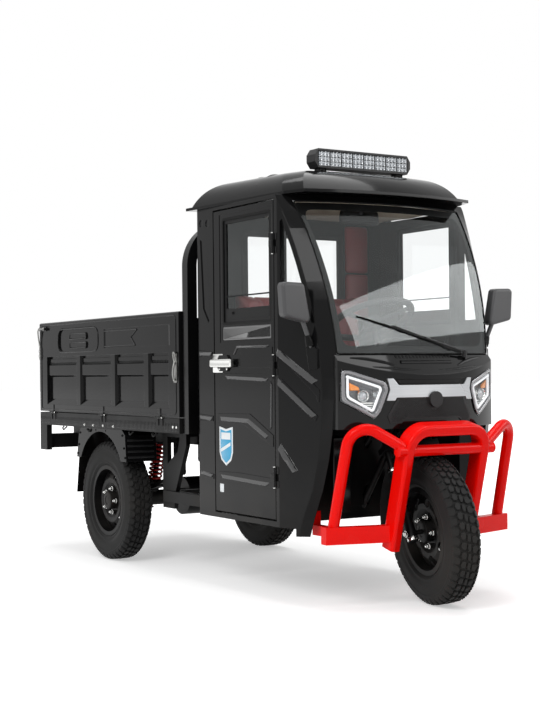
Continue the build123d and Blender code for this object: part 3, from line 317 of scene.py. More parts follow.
@dataclass(frozen=True)
class Brushed(Finish):
    """Metal or paint with fine lines along y."""

    def pattern(self, graph: Graph, place: Flow) -> tuple[Flow, Flow]:
        """Long thin lines from a stretched noise."""
        x, y, z = graph.axes(place)
        stretched = graph.node("ShaderNodeCombineXYZ", values={0: x * 40.0, 1: y * 3.0, 2: z * 900.0})
        lines = graph.noise(stretched, 1.0)
        return lines, lines.step(0.3, 0.7, 0.0, 0.3)


@dataclass(frozen=True)
class Leather(Finish):
    """Seat cover with a pebbled grain and fine creases."""

    def pattern(self, graph: Graph, place: Flow) -> tuple[Flow, Flow]:
        """Pebbles from cells, with creases from noise."""
        values = {"Vector": place, "Scale": self.grain}
        cells = graph.node("ShaderNodeTexVoronoi", {"feature": "SMOOTH_F1"}, values, "Distance")
        folds = graph.noise(place, 26.0, 4.0, 0.65)
        return (1 - cells) * 0.6 + folds * 0.8, cells.step(0.35, 0.7, 0.0, 0.35)


@dataclass(frozen=True)
class Ribbed(Finish):
    """A lens or cover with fine upright ribs."""

    def pattern(self, graph: Graph, place: Flow) -> tuple[Flow, Flow]:
        """Upright ribs along y."""
        ribs = (graph.axes(place)[1] * self.grain).sine() * 0.5 + 0.5
        return ribs, ribs.step(0.0, 0.6, 0.25, 0.0)


GLOSS = Finish("panel_gloss", (0.058, 0.058, 0.06), 0.12, coat=0.04, mottle=0.04, gloss=0.1, edge=0.003, wear=0.12)
SATIN = Finish(
    "satin_black", (0.05, 0.05, 0.053), gloss=0.12, grain=700, grain_depth=0.00008, wear=0.25, dust=0.25
)
MOULDED = Finish(
    "moulding_black", (0.13, 0.13, 0.133), 0.45, gloss=0.18, grain=900, grain_depth=0.0002, wear=0.15
)
RUBBER = Finish(
    "tyre_rubber", (0.115, 0.115, 0.115), 0.62, gloss=0.14, grain=500, grain_depth=0.0002, wear=0.25, dust=0.12
)
FLAP = Finish("flap_sheet", (0.02, 0.02, 0.02), 0.6, gloss=0.04, grain=320, grain_depth=0.0003, wear=0.1)
SHELL = Finish("mirror_shell", (0.27, 0.27, 0.275), 0.38, gloss=0.3, grain=900, grain_depth=0.0001, wear=0.1)
HOOP = Finish("hoop_black", (0.03, 0.03, 0.032), 0.22, coat=0.1, gloss=0.12, wear=0.15)
# Painted highlight: the cab's black panel paint drawn paler and glossier on the pressed ledges, standing in for the
# light that they catch.
LEDGE_HIGHLIGHT = Finish(
    "ledge_painted_highlight", (0.17, 0.17, 0.172), 0.2, coat=0.5, gloss=0.5, mottle=0.15, grain=6, edge=0.003, wear=0.1
)
COWL = Finish("cowl_gloss", (0.05, 0.05, 0.052), 0.08, coat=0.12, gloss=0.16, mottle=0.05, edge=0.004, wear=0.1)
BED = Finish(
    "bed_black", (0.062, 0.062, 0.063), 0.42, gloss=0.12, grain=420, grain_depth=0.00012, edge=0.002, wear=0.35,
    dust=0.2,
)
SEAL = Finish("black_seal", (0.03, 0.03, 0.03), 0.5, gloss=0.1, wear=0.0)
BAR_PAINT = Finish(
    "bar_paint", (0.93, 0.035, 0.01), 0.24, coat=0.08, gloss=0.06, mottle=0.03, wear=0.12, dust=0.05, grain=180,
    grain_depth=0.00012,
)
COIL_RED = Finish("coil_red", (0.75, 0.06, 0.05), 0.35, coat=0.2, gloss=0.3, wear=0.3)
SILVER = Brushed("brushed_silver", (0.72, 0.73, 0.74), 0.3, metal=0.6, mottle=0.05, grain_depth=0.00005, wear=0.0)
BRIGHT = Finish("bright_metal", (0.82, 0.82, 0.81), 0.22, metal=1.0, mottle=0.1, wear=0.0, edge=0.0006)
WORN_STEEL = Finish(
    "worn_steel", (0.5, 0.5, 0.49), 0.38, metal=1.0, mottle=0.25, grain=300, grain_depth=0.00015, wear=0.0
)
REFLECTOR = Finish("lamp_reflector", (0.66, 0.67, 0.68), 0.2, metal=0.85, mottle=0.05, wear=0.0)
LAMP_BEZEL = Finish("lamp_bezel", (0.5, 0.5, 0.51), 0.28, metal=0.4, coat=0.4, mottle=0.05, wear=0.05)
LAMP_BOWL = Finish("lamp_bowl", (0.36, 0.36, 0.37), 0.22, metal=0.5, mottle=0.1, wear=0.0, grain=120)
LIGHT_GUIDE = Finish("light_guide", (0.93, 0.94, 0.95), 0.25, mottle=0.02, wear=0.0, glow=0.35)
AMBER = Ribbed("amber_marker", (0.95, 0.55, 0.1), 0.2, coat=0.5, grain=2400, grain_depth=0.0004, wear=0.0, glow=0.1)
LENS = Finish("clear_lens", (0.7, 0.72, 0.74), 0.1, coat=0.6, gloss=0.5, mottle=0.06, wear=0.0)
GRILLE = Finish("grille_black", (0.12, 0.12, 0.122), gloss=0.3, grain=800, grain_depth=0.0001, wear=0.1)
SMOKED = Finish("smoked_pane", (0.25, 0.25, 0.25), 0.1, coat=0.6, mottle=0.2, grain=3, wear=0.0)
MIRROR = Finish("mirror_glass", (0.86, 0.88, 0.89), 0.03, metal=1.0, mottle=0.03, wear=0.0, dust=0.05)
HEADLINING = Finish("headlining", (0.68, 0.64, 0.58), 0.85, gloss=0.1, grain=600, grain_depth=0.0004, wear=0.0)
SEAT_RED = Leather("seat_red", (0.5, 0.06, 0.08), 0.42, gloss=0.3, grain=420, grain_depth=0.0006, wear=0.05)
LAMP_RED = Ribbed("tail_lens_red", (0.75, 0.06, 0.05), 0.15, coat=0.8, grain=900, grain_depth=0.0006, wear=0.0)
BADGE_EDGE = Finish("badge_pale", (0.9, 0.92, 0.93), 0.3, coat=0.4, mottle=0.04, wear=0.05)
BADGE_BLUE = Finish("badge_blue", (0.1, 0.62, 0.8), 0.3, coat=0.4, mottle=0.1, wear=0.05)
GLASS = Glazing("sheet_glass", (0.95, 0.97, 0.97), 0.02)
LAMP_GLASS = Glazing("lamp_cover", (0.95, 0.97, 0.98), 0.03)
GROUND = Ground("studio_floor", (0.93, 0.93, 0.93))

DRESS: dict[Finish, tuple[str, ...]] = {
    GLOSS: (
        "cab_sides", "door_right", "door_left", "windscreen_frame", "roof", "cab_rear_wall", "side_gate_right",
        "side_gate_left", "tailgate", "lower_fairings", "rear_fenders",
    ),
    SATIN: (
        "main_frame", "rear_axle", "leaf_springs", "front_fork", "front_rim", "rear_rim_right", "rear_rim_left",
        "battery_pack", "cab_floor", "seat_base",
    ),
    SHELL: ("mirrors",),
    HOOP: ("load_hoop",),
    BED: ("bed_floor",),
    COWL: ("nose_shell",),
    MOULDED: ("light_bar", "nose_grille", "dashboard", "wiper", "front_mudguard", "steering_wheel"),
    FLAP: ("mud_flaps",),
    RUBBER: ("front_tyre", "rear_tyre_right", "rear_tyre_left"),
    BAR_PAINT: ("bull_bar",),
    SILVER: ("nose_trim",),
    SEAT_RED: ("seat_cushion", "seat_back"),
    LAMP_RED: ("tail_lamps",),
    GLASS: ("windscreen", "fixed_windows", "door_glass_right", "door_glass_left"),
    LAMP_GLASS: ("headlamps",),
}


def dress_nodes() -> None:
    """Gives every CAD node its finish."""
    for finish, names in DRESS.items():
        for name in names:
            materials = frame["nodes"][name].data.materials
            materials.clear()
            materials.append(finish.material())
            LOG.info("%s is in %s", name, finish.name)


AXLE_X = sum(corner.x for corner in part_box("rear_tyre_right")) / 2
AHEAD, UP = Vector((1, 0, 0)), Vector((0, 0, 1))
TINY = 1e-5


def spot(x: float, y: float, z: float) -> Vector:
    """A place given in millimetres ahead of the rear axle, left of the middle and above the ground."""
    return Vector((AXLE_X + x / 1000, y / 1000, z / 1000))


def across(y: float, x: float, z: float) -> Vector:
    """A place on an upright face that runs across the vehicle, x being its depth."""
    return spot(x, y, z)


def angles(count: int) -> list[float]:
    """Evenly spread angles of a full turn."""
    return [2 * math.pi * k / count for k in range(count)]


def spoke(first: Vector, second: Vector, turn: float) -> Vector:
    """The direction at an angle from one axis towards another."""
    return first * math.cos(turn) + second * math.sin(turn)


def sides_of(axis: Vector) -> tuple[Vector, Vector]:
    """Two directions square to an axis and to each other."""
    out = axis.orthogonal().normalized()
    return out, axis.cross(out)


def swelling(share: float) -> float:
    """How thick a line is at a share of its length, from thin over 1 to thin."""
    return math.sin(math.pi * (0.08 + 0.84 * share))


def dome(size: float, share: float, steps: int) -> list[Pair]:
    """The profile of a dome of a radius, with its height as a share of that."""
    turns = [math.pi / 2 * k / steps for k in range(steps + 1)]
    return [(size * share * math.sin(t), size * math.cos(t)) for t in turns]


def joint_line(name: str, hand: int = 0) -> tuple[Vector, Vector]:
    """A joint's place and its axis, which points to the side of that sign if one is given."""
    joint = next(joint for joint in frame["joints"] if joint["name"] == name)
    axis = Vector(joint["axis"]).normalized()
    return Vector(joint["pos_m"]), -axis if axis.y * hand < 0 else axis


def box(a0: float, a1: float, b0: float, b1: float) -> list[Pair]:
    """The corners of a rectangle between two values of each coordinate."""
    return [(a0, b0), (a1, b0), (a1, b1), (a0, b1)]


def wedge(first: float, last: float, b0: float, b1: float) -> list[Pair]:
    """The corners of a shape about the middle line, half as wide as first at b0 and as last at b1."""
    return [(-first, b0), (first, b0), (last, b1), (-last, b1)]


def inset(points: Outline, distance: float) -> list[Pair]:
    """Moves every edge of a flat outline inwards.

    Args:
        points: The outline's corners, in order.
        distance: How far the edges move.

    Returns:
        The new corners.
    """
    after = [*points[1:], points[0]]
    hand = math.copysign(1.0, sum(a[0] * b[1] - b[0] * a[1] for a, b in zip(points, after)))
    made = []
    for before, point, ahead in zip([points[-1], *points[:-1]], points, after):
        q = Vector(point)
        first, second = (q - Vector(before)).normalized(), (Vector(ahead) - q).normalized()
        normal = Vector((-first.y, first.x)) * hand
        middle = (normal + Vector((-second.y, second.x)) * hand).normalized()
        made.append(tuple(q + middle * distance / max(0.35, middle.dot(normal))))
    return made


def rounded(points: Outline, radius: float, steps: int = 4, runs: int = 1) -> list[Pair]:
    """Rounds the corners of a flat outline.

    Args:
        points: The outline's corners, in order.
        radius: The corner radius.
        steps: How many runs each corner gets.
        runs: How many runs each straight side gets.

    Returns:
        The rounded outline.
    """
    made: list[Pair] = []
    for i, point in enumerate(points):
        q = Vector(point)
        back, ahead = Vector(points[i - 1]) - q, Vector(points[(i + 1) % len(points)]) - q
        cut = min(radius, back.length * 0.45, ahead.length * 0.45)
        start, end = q + back.normalized() * cut, q + ahead.normalized() * cut
        if made:
            made += [tuple(Vector(made[-1]).lerp(start, k / runs)) for k in range(1, runs)]
        made += [tuple(start.lerp(q, t).lerp(q.lerp(end, t), t)) for t in (k / steps for k in range(steps + 1))]
    return made + [tuple(Vector(made[-1]).lerp(Vector(made[0]), k / runs)) for k in range(1, runs)]


def bending(
    corners: Outline, radius: float, steps: int = 4, fall: float = 0.0, least: float = 2.0, runs: int = 1
) -> Shape:
    """Makes the function that cuts an outline in and then rounds it.

    Args:
        corners: The outline's corners, in order.
        radius: The corner radius before any cut.
        steps: How many runs each corner gets.
        fall: How fast the radius falls with the cut.
        least: The smallest radius.
        runs: How many runs each straight side gets.

    Returns:
        A function that gives the outline for a cut.
    """
    return lambda cut: rounded(inset(corners, cut), max(least, radius - cut * fall), steps, runs)


def smooth_line(points: Sequence[Vector], steps: int = 5) -> list[Vector]:
    """A smooth line through points, with so many steps between two of them."""
    made = []
    for a, b, c, d in zip([points[0], *points], points, points[1:], [*points[2:], points[-1]]):
        square, cube = 2 * a - 5 * b + 4 * c - d, 3 * b - a - 3 * c + d
        for t in (k / steps for k in range(steps)):
            made.append(0.5 * ((2 * b) + (c - a) * t + square * t**2 + cube * t**3))
    return made + [points[-1]]


class Side(Enum):
    """A side of the vehicle, as the sign of its y."""

    RIGHT = -1
    LEFT = 1

    @property
    def word(self) -> str:
        """The side's name in piece names."""
        return self.name.lower()

    @property
    def out(self) -> Vector:
        """The direction away from the vehicle's middle."""
        return Vector((0, self.value, 0))


class Ends(Enum):
    """What closes a run of rings."""

    NONE = "both ends are open"
    BOTH = "both ends are filled"
    LAST = "only the last end is filled"
    LOOP = "the last ring joins the first"


class Mould:
    """Gathers the faces of one piece in the vehicle's frame, in metres. Whatever adds a form returns the mould."""

    def __init__(self, name: str) -> None:
        """Starts an empty piece."""
        self.name = name
        self.mesh = bmesh.new()

    def ring(self, points: Iterable[Vector]) -> list[bmesh.types.BMVert]:
        """Adds a corner at each point."""
        return [self.mesh.verts.new(point) for point in points]

    def bridge(self, rings: Sequence[Sequence[Any]], ends: Ends = Ends.BOTH, closed: bool = True) -> "Mould":
        """Joins rings of corners by quads.

        Args:
            rings: The rings, in order.
            ends: What closes the run of rings.
            closed: Whether each ring joins its last corner to its first.
        """
        if ends is Ends.LOOP:
            rings = [*rings, rings[0]]
        count = len(rings[0])
        for low, high in zip(rings, rings[1:]):
            for i in range(count if closed else count - 1):
                j = (i + 1) % count
                self.mesh.faces.new((low[i], low[j], high[j], high[i]))
        if ends is Ends.BOTH:
            self.mesh.faces.new(rings[0][::-1])
        if ends in (Ends.BOTH, Ends.LAST):
            self.mesh.faces.new(rings[-1])
        return self

    def press(self, shape: Shape, steps: Outline, at: Place = across, ends: Ends = Ends.BOTH) -> "Mould":
        """Adds a form whose flat outline is cut in and moved from ring to ring.

        Args:
            shape: The outline, or a function that gives it for a cut.
            steps: How far each ring is cut in, and its depth.
            at: Turns a coordinate, a depth and another coordinate into a place.
            ends: What closes the run of rings.
        """
        cut_in = shape if callable(shape) else lambda cut: inset(shape, cut)
        return self.bridge([self.ring([at(a, depth, b) for a, b in cut_in(cut)]) for cut, depth in steps], ends)

    def prism(self, outline: Sequence[Vector], top: Union[Vector, Sequence[Vector]]) -> "Mould":
        """Adds a solid between a flat outline and another one, or the same one moved by a vector."""
        moved = [point + top for point in outline] if isinstance(top, Vector) else top
        return self.bridge([self.ring(outline), self.ring(moved)])

    def slab(self, low: Vector, high: Vector) -> "Mould":
        """Adds a block between two corners."""
        base = [Vector((x, y, low.z)) for x, y in box(low.x, high.x, low.y, high.y)]
        return self.prism(base, Vector((0, 0, high.z - low.z)))

    def tube(
        self, line: Sequence[Vector], radius: Union[float, Sequence[float]], sides: int = 8, loop: bool = False
    ) -> "Mould":
        """Adds a round tube along a line.

        Args:
            line: The points that it follows.
            radius: Its radius, or one for each point.
            sides: How many sides it has.
            loop: Whether its end joins its start.
        """
        sizes = [radius] * len(line) if isinstance(radius, float) else radius
        befores = [line[-1] if loop else line[0], *line[:-1]]
        afters = [*line[1:], line[0] if loop else line[-1]]
        side = sides_of((line[1] - line[0]).normalized())[0]
        rings = []
        for point, before, after, size in zip(line, befores, afters, sizes):
            ahead = (after - before).normalized()
            side = (side - ahead * side.dot(ahead)).normalized()
            other = ahead.cross(side)
            rings.append(self.ring([point + spoke(side, other, turn) * size for turn in angles(sides)]))
        return self.bridge(rings, Ends.LOOP if loop else Ends.BOTH)

    def lathe(self, centre: Vector, axis: Vector, profile: Outline, steps: int = 20, closed: bool = False) -> "Mould":
        """Adds a turned solid.

        Args:
            centre: The middle of its foot.
            axis: The direction of its axis.
            profile: Distances along the axis and radii, in order.
            steps: How many steps go round it.
            closed: Whether the profile's end joins its start.
        """
        axis = axis.normalized()
        out, side = sides_of(axis)
        rings = []
        for turn in angles(steps):
            reach = spoke(out, side, turn)
            rings.append(self.ring([centre + axis * along + reach * radius for along, radius in profile]))
        self.bridge(rings, Ends.LOOP, closed)
        for end in () if closed else (0, -1):
            if profile[end][1] > TINY:
                rim = [ring[end] for ring in rings]
                self.mesh.faces.new(rim if end else rim[::-1])
        return self

    def bolt(self, place: Vector, axis: Vector, size: float, washer: bool = True) -> "Mould":
        """Adds a hexagon bolt head of half a width on a surface, with or without a washer."""
        axis = axis.normalized()
        if washer:
            rim = ((0, 1.5), (0.25, 1.5), (0.3, 1.4), (0.3, 0))
            self.lathe(place, axis, [(size * along, size * radius) for along, radius in rim])
        out, side = sides_of(axis)
        rings = []
        for height, reach in ((0.2, 1), (0.9, 1), (1.15, 0.82)):
            foot = place + axis * size * height
            rings.append(self.ring([foot + spoke(out, side, turn) * size * reach for turn in angles(6)]))
        return self.bridge(rings)

    def soften(self, radius: float, steps: int = 2, angle: float = 30.0) -> "Mould":
        """Rounds every edge sharper than an angle in degrees."""
        self.mesh.normal_update()
        sharp = [e for e in self.mesh.edges if e.is_manifold and e.calc_face_angle(0) > math.radians(angle)]
        bevel = {"offset": radius, "segments": steps, "affect": "EDGES", "profile": 0.5, "clamp_overlap": True}
        bmesh.ops.bevel(self.mesh, geom=sharp, **bevel)
        return self

    def cast(
        self,
        finish: Finish,
        body: str = "chassis",
        stands_for: Sequence[str] = (),
        slot: str = "",
        crease: float = 40.0,
    ) -> bpy.types.Object:
        """Makes the object, gives it its finish and lets it ride on a body.

        Args:
            finish: What it is finished in.
            body: The CAD body that it moves with.
            stands_for: The CAD nodes that it replaces.
            slot: The record's material slot that it takes its finish from; not used.
            crease: The angle in degrees over which an edge looks sharp.

        Returns:
            The object.
        """
        bmesh.ops.recalc_face_normals(self.mesh, faces=self.mesh.faces[:])
        self.mesh.normal_update()
        for edge in self.mesh.edges:
            edge.smooth = edge.calc_face_angle(0) < math.radians(crease)
        for face in self.mesh.faces:
            face.smooth = True
        data = bpy.data.meshes.new(self.name)
        self.mesh.to_mesh(data)
        self.mesh.free()
        data.materials.append(finish.material())
        made = bpy.data.objects.new(self.name, data)
        bpy.context.scene.collection.objects.link(made)
        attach(made, body)
        if stands_for:
            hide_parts(*stands_for)
        LOG.info("%s rides on %s, %d faces", self.name, body, len(data.polygons))
        return made


@dataclass(frozen=True)
class Wheel:
    """What tells one wheel from another.

    Args:
        label: Its name in piece names.
        tyre: Its CAD tyre.
        body: Its body.
        joint: The joint that it turns on.
        face: The side that its face looks to.
        outer: Its radius over the tread, in metres.
    """

    label: str
    tyre: str
    body: str
    joint: str
    face: Side
    outer: float = 0.2809


WHEELS = (
    Wheel("front", "front_tyre", "front_wheel", "front_wheel_spin", Side.RIGHT, 0.28),
    Wheel("rear_right", "rear_tyre_right", "rear_wheel_right", "rear_right_spin", Side.RIGHT),
    Wheel("rear_left", "rear_tyre_left", "rear_wheel_left", "rear_left_spin", Side.LEFT),
)
# The half section of a tyre from the crown: shares of half its width, and depths under its outer radius.
CARCASS: Outline = (
    (0, 0.009), (0.55, 0.0095), (0.8, 0.013), (0.93, 0.021), (0.97, 0.03), (0.985, 0.038), (0.965, 0.04),
    (0.975, 0.055), (1, 0.07), (0.99, 0.082), (0.955, 0.086), (0.93, 0.096), (0.945, 0.1), (0.9, 0.106),
)
BEAD: Outline = ((0.0475, 0.1695), (0.0435, 0.1635), (0.043, 0.1525))
# Tread blocks: shares of half the tyre's width, and of half the block's length.
SHOULDER: Outline = ((0.64, -0.6), (0.74, -1), (0.97, -0.95), (0.97, 0.95), (0.74, 1), (0.64, 0.6))
CROWN: Outline = ((0.2, -0.5), (0.3, -1), (0.5, -0.9), (0.58, 0), (0.5, 0.9), (0.3, 1), (0.2, 0.5))
MIDDLE: Outline = ((-0.13, 0), (-0.08, -1), (0.08, -1), (0.13, 0), (0.08, 1), (-0.08, 1))


@dataclass
class Tyre:
    """A tyre with a moulded sidewall and cut tread blocks.

    Args:
        wheel: The wheel that it belongs to.
        half: Half its width, in metres.
        blocks: How many tread blocks go round it.
    """

    wheel: Wheel
    half: float = 0.0585
    blocks: int = 48

    def build(self) -> None:
        """Builds the carcass and its blocks."""
        outer, half = self.wheel.outer, self.half
        low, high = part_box(self.wheel.tyre)
        centre, axis = (low + high) / 2, joint_line(self.wheel.joint, 1)[1]
        out = axis.cross(UP).normalized()
        up = out.cross(axis)

        def at(turn: float, a: float, radius: float) -> Vector:
            """A place at an angle, an offset along the axis and a radius."""
            return centre + axis * a + spoke(out, up, turn) * radius

        def shoulder(a: float) -> float:
            """The radius of a shoulder block's face."""
            return outer - 0.0015 - 0.020 * (max(0, abs(a) / half - 0.7) / 0.3) ** 2

        mould = Mould(self.wheel.tyre.replace("tyre", "tread_tyre"))
        side = [(half * share, outer - drop) for share, drop in CARCASS] + list(BEAD)
        profile = [(-a, r) for a, r in reversed(side)] + side[1:]
        rings = [mould.ring([at(turn, a, r) for a, r in profile]) for turn in angles(self.blocks * 2)]
        mould.bridge(rings, Ends.LOOP)
        pitch = 2 * math.pi / self.blocks

        def block(turn: float, hand: int, corners: Outline, length: float, top: Any, deep: float) -> None:
            """Adds a block with corners on one hand, whose face follows top and whose foot lies deeper."""
            outline = [(hand * half * a, length * pitch * t, top(hand * half * a)) for a, t in corners]
            middle = sum(a for a, _, _ in outline) / len(outline)
            rings = []
            for share, wide, drop in ((1, 1, deep), (0.93, 0.95, 0.0015), (0.78, 0.84, 0)):
                places = [at(turn + t * share, middle + (a - middle) * wide, r - drop) for a, t, r in outline]
                rings.append(mould.ring(places))
            mould.bridge(rings)

        for index in range(self.blocks):
            for hand in (-1, 1):
                turn = (index + 0.25 * hand) * pitch
                block(turn, hand, SHOULDER, 0.38, shoulder, 0.0125)
                block(turn + pitch * 0.5, hand, CROWN, 0.4, lambda a: outer - 0.0006, 0.0099)
            block(index * pitch, 1, MIDDLE, 0.4, lambda a: outer, 0.0105)
        mould.cast(RUBBER, self.wheel.body, (self.wheel.tyre,), "tread_rubber", 28.0)


@dataclass
class WheelDress:
    """The bright fasteners, valve and cap of one wheel.

    Args:
        wheel: The wheel that they belong to.
        count: How many nuts it has.
        circle: The radius of their circle.
        seat: How far out they sit.
        valve_turn: Where the valve is, as an angle.
    """

    wheel: Wheel
    count: int = 5
    circle: float = 0.058
    seat: float = 0.0302
    valve_turn: float = 0.9

    def build(self) -> None:
        """Builds the wheel's fasteners, cap and valve."""
        label, body = self.wheel.label, self.wheel.body
        centre, axis = joint_line(self.wheel.joint, self.wheel.face.value)
        up = (UP - axis * axis.z).normalized()
        ahead = up.cross(axis)
        ahead = ahead if ahead.x > 0 else -ahead
        nuts = Mould(f"{label}_wheel_nuts")
        for turn in angles(self.count):
            place = centre + axis * self.seat + spoke(ahead, up, turn) * self.circle
            nuts.lathe(place, axis, ((0, 0.0115), (0.002, 0.0115), (0.003, 0.0105), (0.003, 0)))
            nuts.bolt(place + axis * 0.002, axis, 0.0085, False)
            stud = ((0, 0.0048), (0.006, 0.0048), (0.007, 0.004), (0.007, 0))
            nuts.lathe(place + axis * 0.010, axis, stud, 12)
        nuts.cast(BRIGHT, body)
        cap = (
            (0.0455, 0.041), (0.047, 0.0405), (0.0485, 0.036), (0.049, 0.03), (0.0495, 0.022), (0.0475, 0.021),
            (0.0475, 0.0165),
        )
        Mould(f"{label}_hub_cap").lathe(centre, axis, cap, 40).cast(SATIN, body)
        reach = spoke(ahead, up, self.valve_turn)
        foot, lean = centre + axis * 0.012 + reach * 0.138, (axis - reach * 0.25).normalized()
        valve = Mould(f"{label}_valve")
        stem, top = ((0, 0.012, 0.026), (0.0045, 0.0035, 0.003)), ((0.026, 0.027, 0.036), (0.003, 0.0042, 0.0042))
        for line, sizes in (stem, top):
            valve.tube([foot + lean * along for along in line], sizes, 12)
        valve.cast(SEAL, body)


@dataclass
class FrontBrake:
    """The disc on the front wheel, its caliper and the bright collars and nuts of the fork.

    Args:
        disc_seat: How far left of the wheel's middle the disc is, in metres.
        disc_radius: Its radius.
        disc_half: Half its thickness.
        leg: How far out a fork leg's axis is, in millimetres.
        leg_face: How far out its outer face is.
        steer_rest: How far the front end is turned at rest.
    """

    disc_seat: float = 0.0475
    disc_radius: float = 0.1
    disc_half: float = 0.002
    leg: float = 92.0
    leg_face: float = 112.5
    steer_rest: float = math.radians(-12.0)

    def fork_point(self, along: float, across: float) -> Vector:
        """A place on the turned front end, in millimetres along and across the steering axis."""
        foot, axis = joint_line("steering")
        offset = axis * along + Side.LEFT.out * across
        return foot + Matrix.Rotation(self.steer_rest, 3, axis) @ (offset / 1000)

    def build(self) -> None:
        """Builds the disc, the caliper, the fork's collars and its axle nuts."""
        centre, left = joint_line("front_wheel_spin", 1)
        half, rim = self.disc_half, self.disc_radius
        disc = ((-half, 0.045), (-half, rim), (half, rim), (half, 0.045))
        seat = centre + left * self.disc_seat
        Mould("front_brake_disc").lathe(seat, left, disc, 64, True).cast(BRIGHT, "front_wheel")
        caliper = Mould("front_caliper")
        up = (UP - left * left.z).normalized()
        back = left.cross(up)
        back = -back if back.x > 0 else back
        cheek = ((0.058, 0.03), (0.112, 0.042), (0.118, 0), (0.104, -0.022), (0.062, -0.012))
        yoke = ((0.1035, 0.034), (0.112, 0.042), (0.118, 0), (0.106, -0.018))
        for low, deep, corners in ((0.0505, 0.01, cheek), (0.0345, 0.01, cheek), (0.0445, 0.006, yoke)):
            caliper.prism([centre + left * low + back * b + up * u for b, u in corners], left * deep)
        caliper.soften(0.003).cast(SATIN, "front_end")
        collars, nuts = Mould("fork_collars"), Mould("front_axle_nuts")
        collar = ((0, 0.0202), (0, 0.0215), (0.012, 0.0215), (0.0135, 0.0205), (0.0135, 0.0202))
        for hand in (-1, 1):
            for along in (248, -30):
                low = self.fork_point(along, hand * self.leg)
                collars.lathe(low, self.fork_point(along + 12, hand * self.leg) - low, collar, 32, True)
            face = self.fork_point(0, hand * self.leg_face)
            nuts.bolt(face, self.fork_point(0, hand * 200) - face, 0.0095)
        collars.cast(BRIGHT, "front_end")
        nuts.cast(BRIGHT, "front_end")


# The nose's curve and the cowl's and the windscreen's common upright axis, in millimetres.
NOSE_APEX, NOSE_CORNER, NOSE_HALF = 1895, 1794, 371
SCREEN_AXIS = 500
SCREEN_LINE = ((1827, 946), (1757, 1285), (1607, 1566))
COWL_REACH, COWL_RUN, COWL_TOP, COWL_FALL = 1327, 78, 946, 88


def nose_x(y: float, grow: float = 0.0) -> float:
    """How far ahead the nose's face is at y, grown outwards, in millimetres."""
    apex, half = NOSE_APEX + grow, NOSE_HALF + grow
    run = apex - NOSE_CORNER
    radius = (run**2 + half**2) / (2 * run)
    return apex - radius + math.sqrt(radius**2 - y**2)


def cowl_point(fall: float, y: float, rise: float = 0.0) -> Vector:
    """A place on the cowl under the windscreen; fall is its share of the way down."""
    reach = COWL_REACH + COWL_RUN * fall
    return spot(SCREEN_AXIS + math.sqrt(reach**2 - y**2), y, COWL_TOP - COWL_FALL * fall + rise)


def arc_through(a: Pair, b: Pair, c: Pair) -> tuple[Pair, float]:
    """The centre and the radius of the circle through three points."""
    (ax, ay), (bx, by), (cx, cy) = a, b, c
    d = 2 * (ax * (by - cy) + bx * (cy - ay) + cx * (ay - by))
    ux = ((ax**2 + ay**2) * (by - cy) + (bx**2 + by**2) * (cy - ay) + (cx**2 + cy**2) * (ay - by)) / d
    uy = ((ax**2 + ay**2) * (cx - bx) + (bx**2 + by**2) * (ax - cx) + (cx**2 + cy**2) * (bx - ax)) / d
    return (ux, uy), math.hypot(ax - ux, ay - uy)


def glass_point(y: float, deep: float, z: float) -> Vector:
    """A place on the windscreen, a depth behind its outer face."""
    (x, middle), radius = arc_through(*SCREEN_LINE)
    reach = x + math.sqrt(radius**2 - (z - middle) ** 2) - deep - SCREEN_AXIS
    return spot(SCREEN_AXIS + math.sqrt(reach**2 - y**2), y, z)


@dataclass
class Flank:
    """Something on one side of the vehicle.

    Args:
        side: The side that it is on.
        face: How far out its outer face is.
    """

    side: Side
    face: float = 500.0

    def at(self, x: float, depth: float, z: float) -> Vector:
        """A place a depth inside the outer face."""
        return spot(x, self.side.value * (self.face - depth), z)

    def mould(self, name: str) -> Mould:
        """Starts a piece whose name ends with the side."""
        return Mould(f"{name}_{self.side.word}")


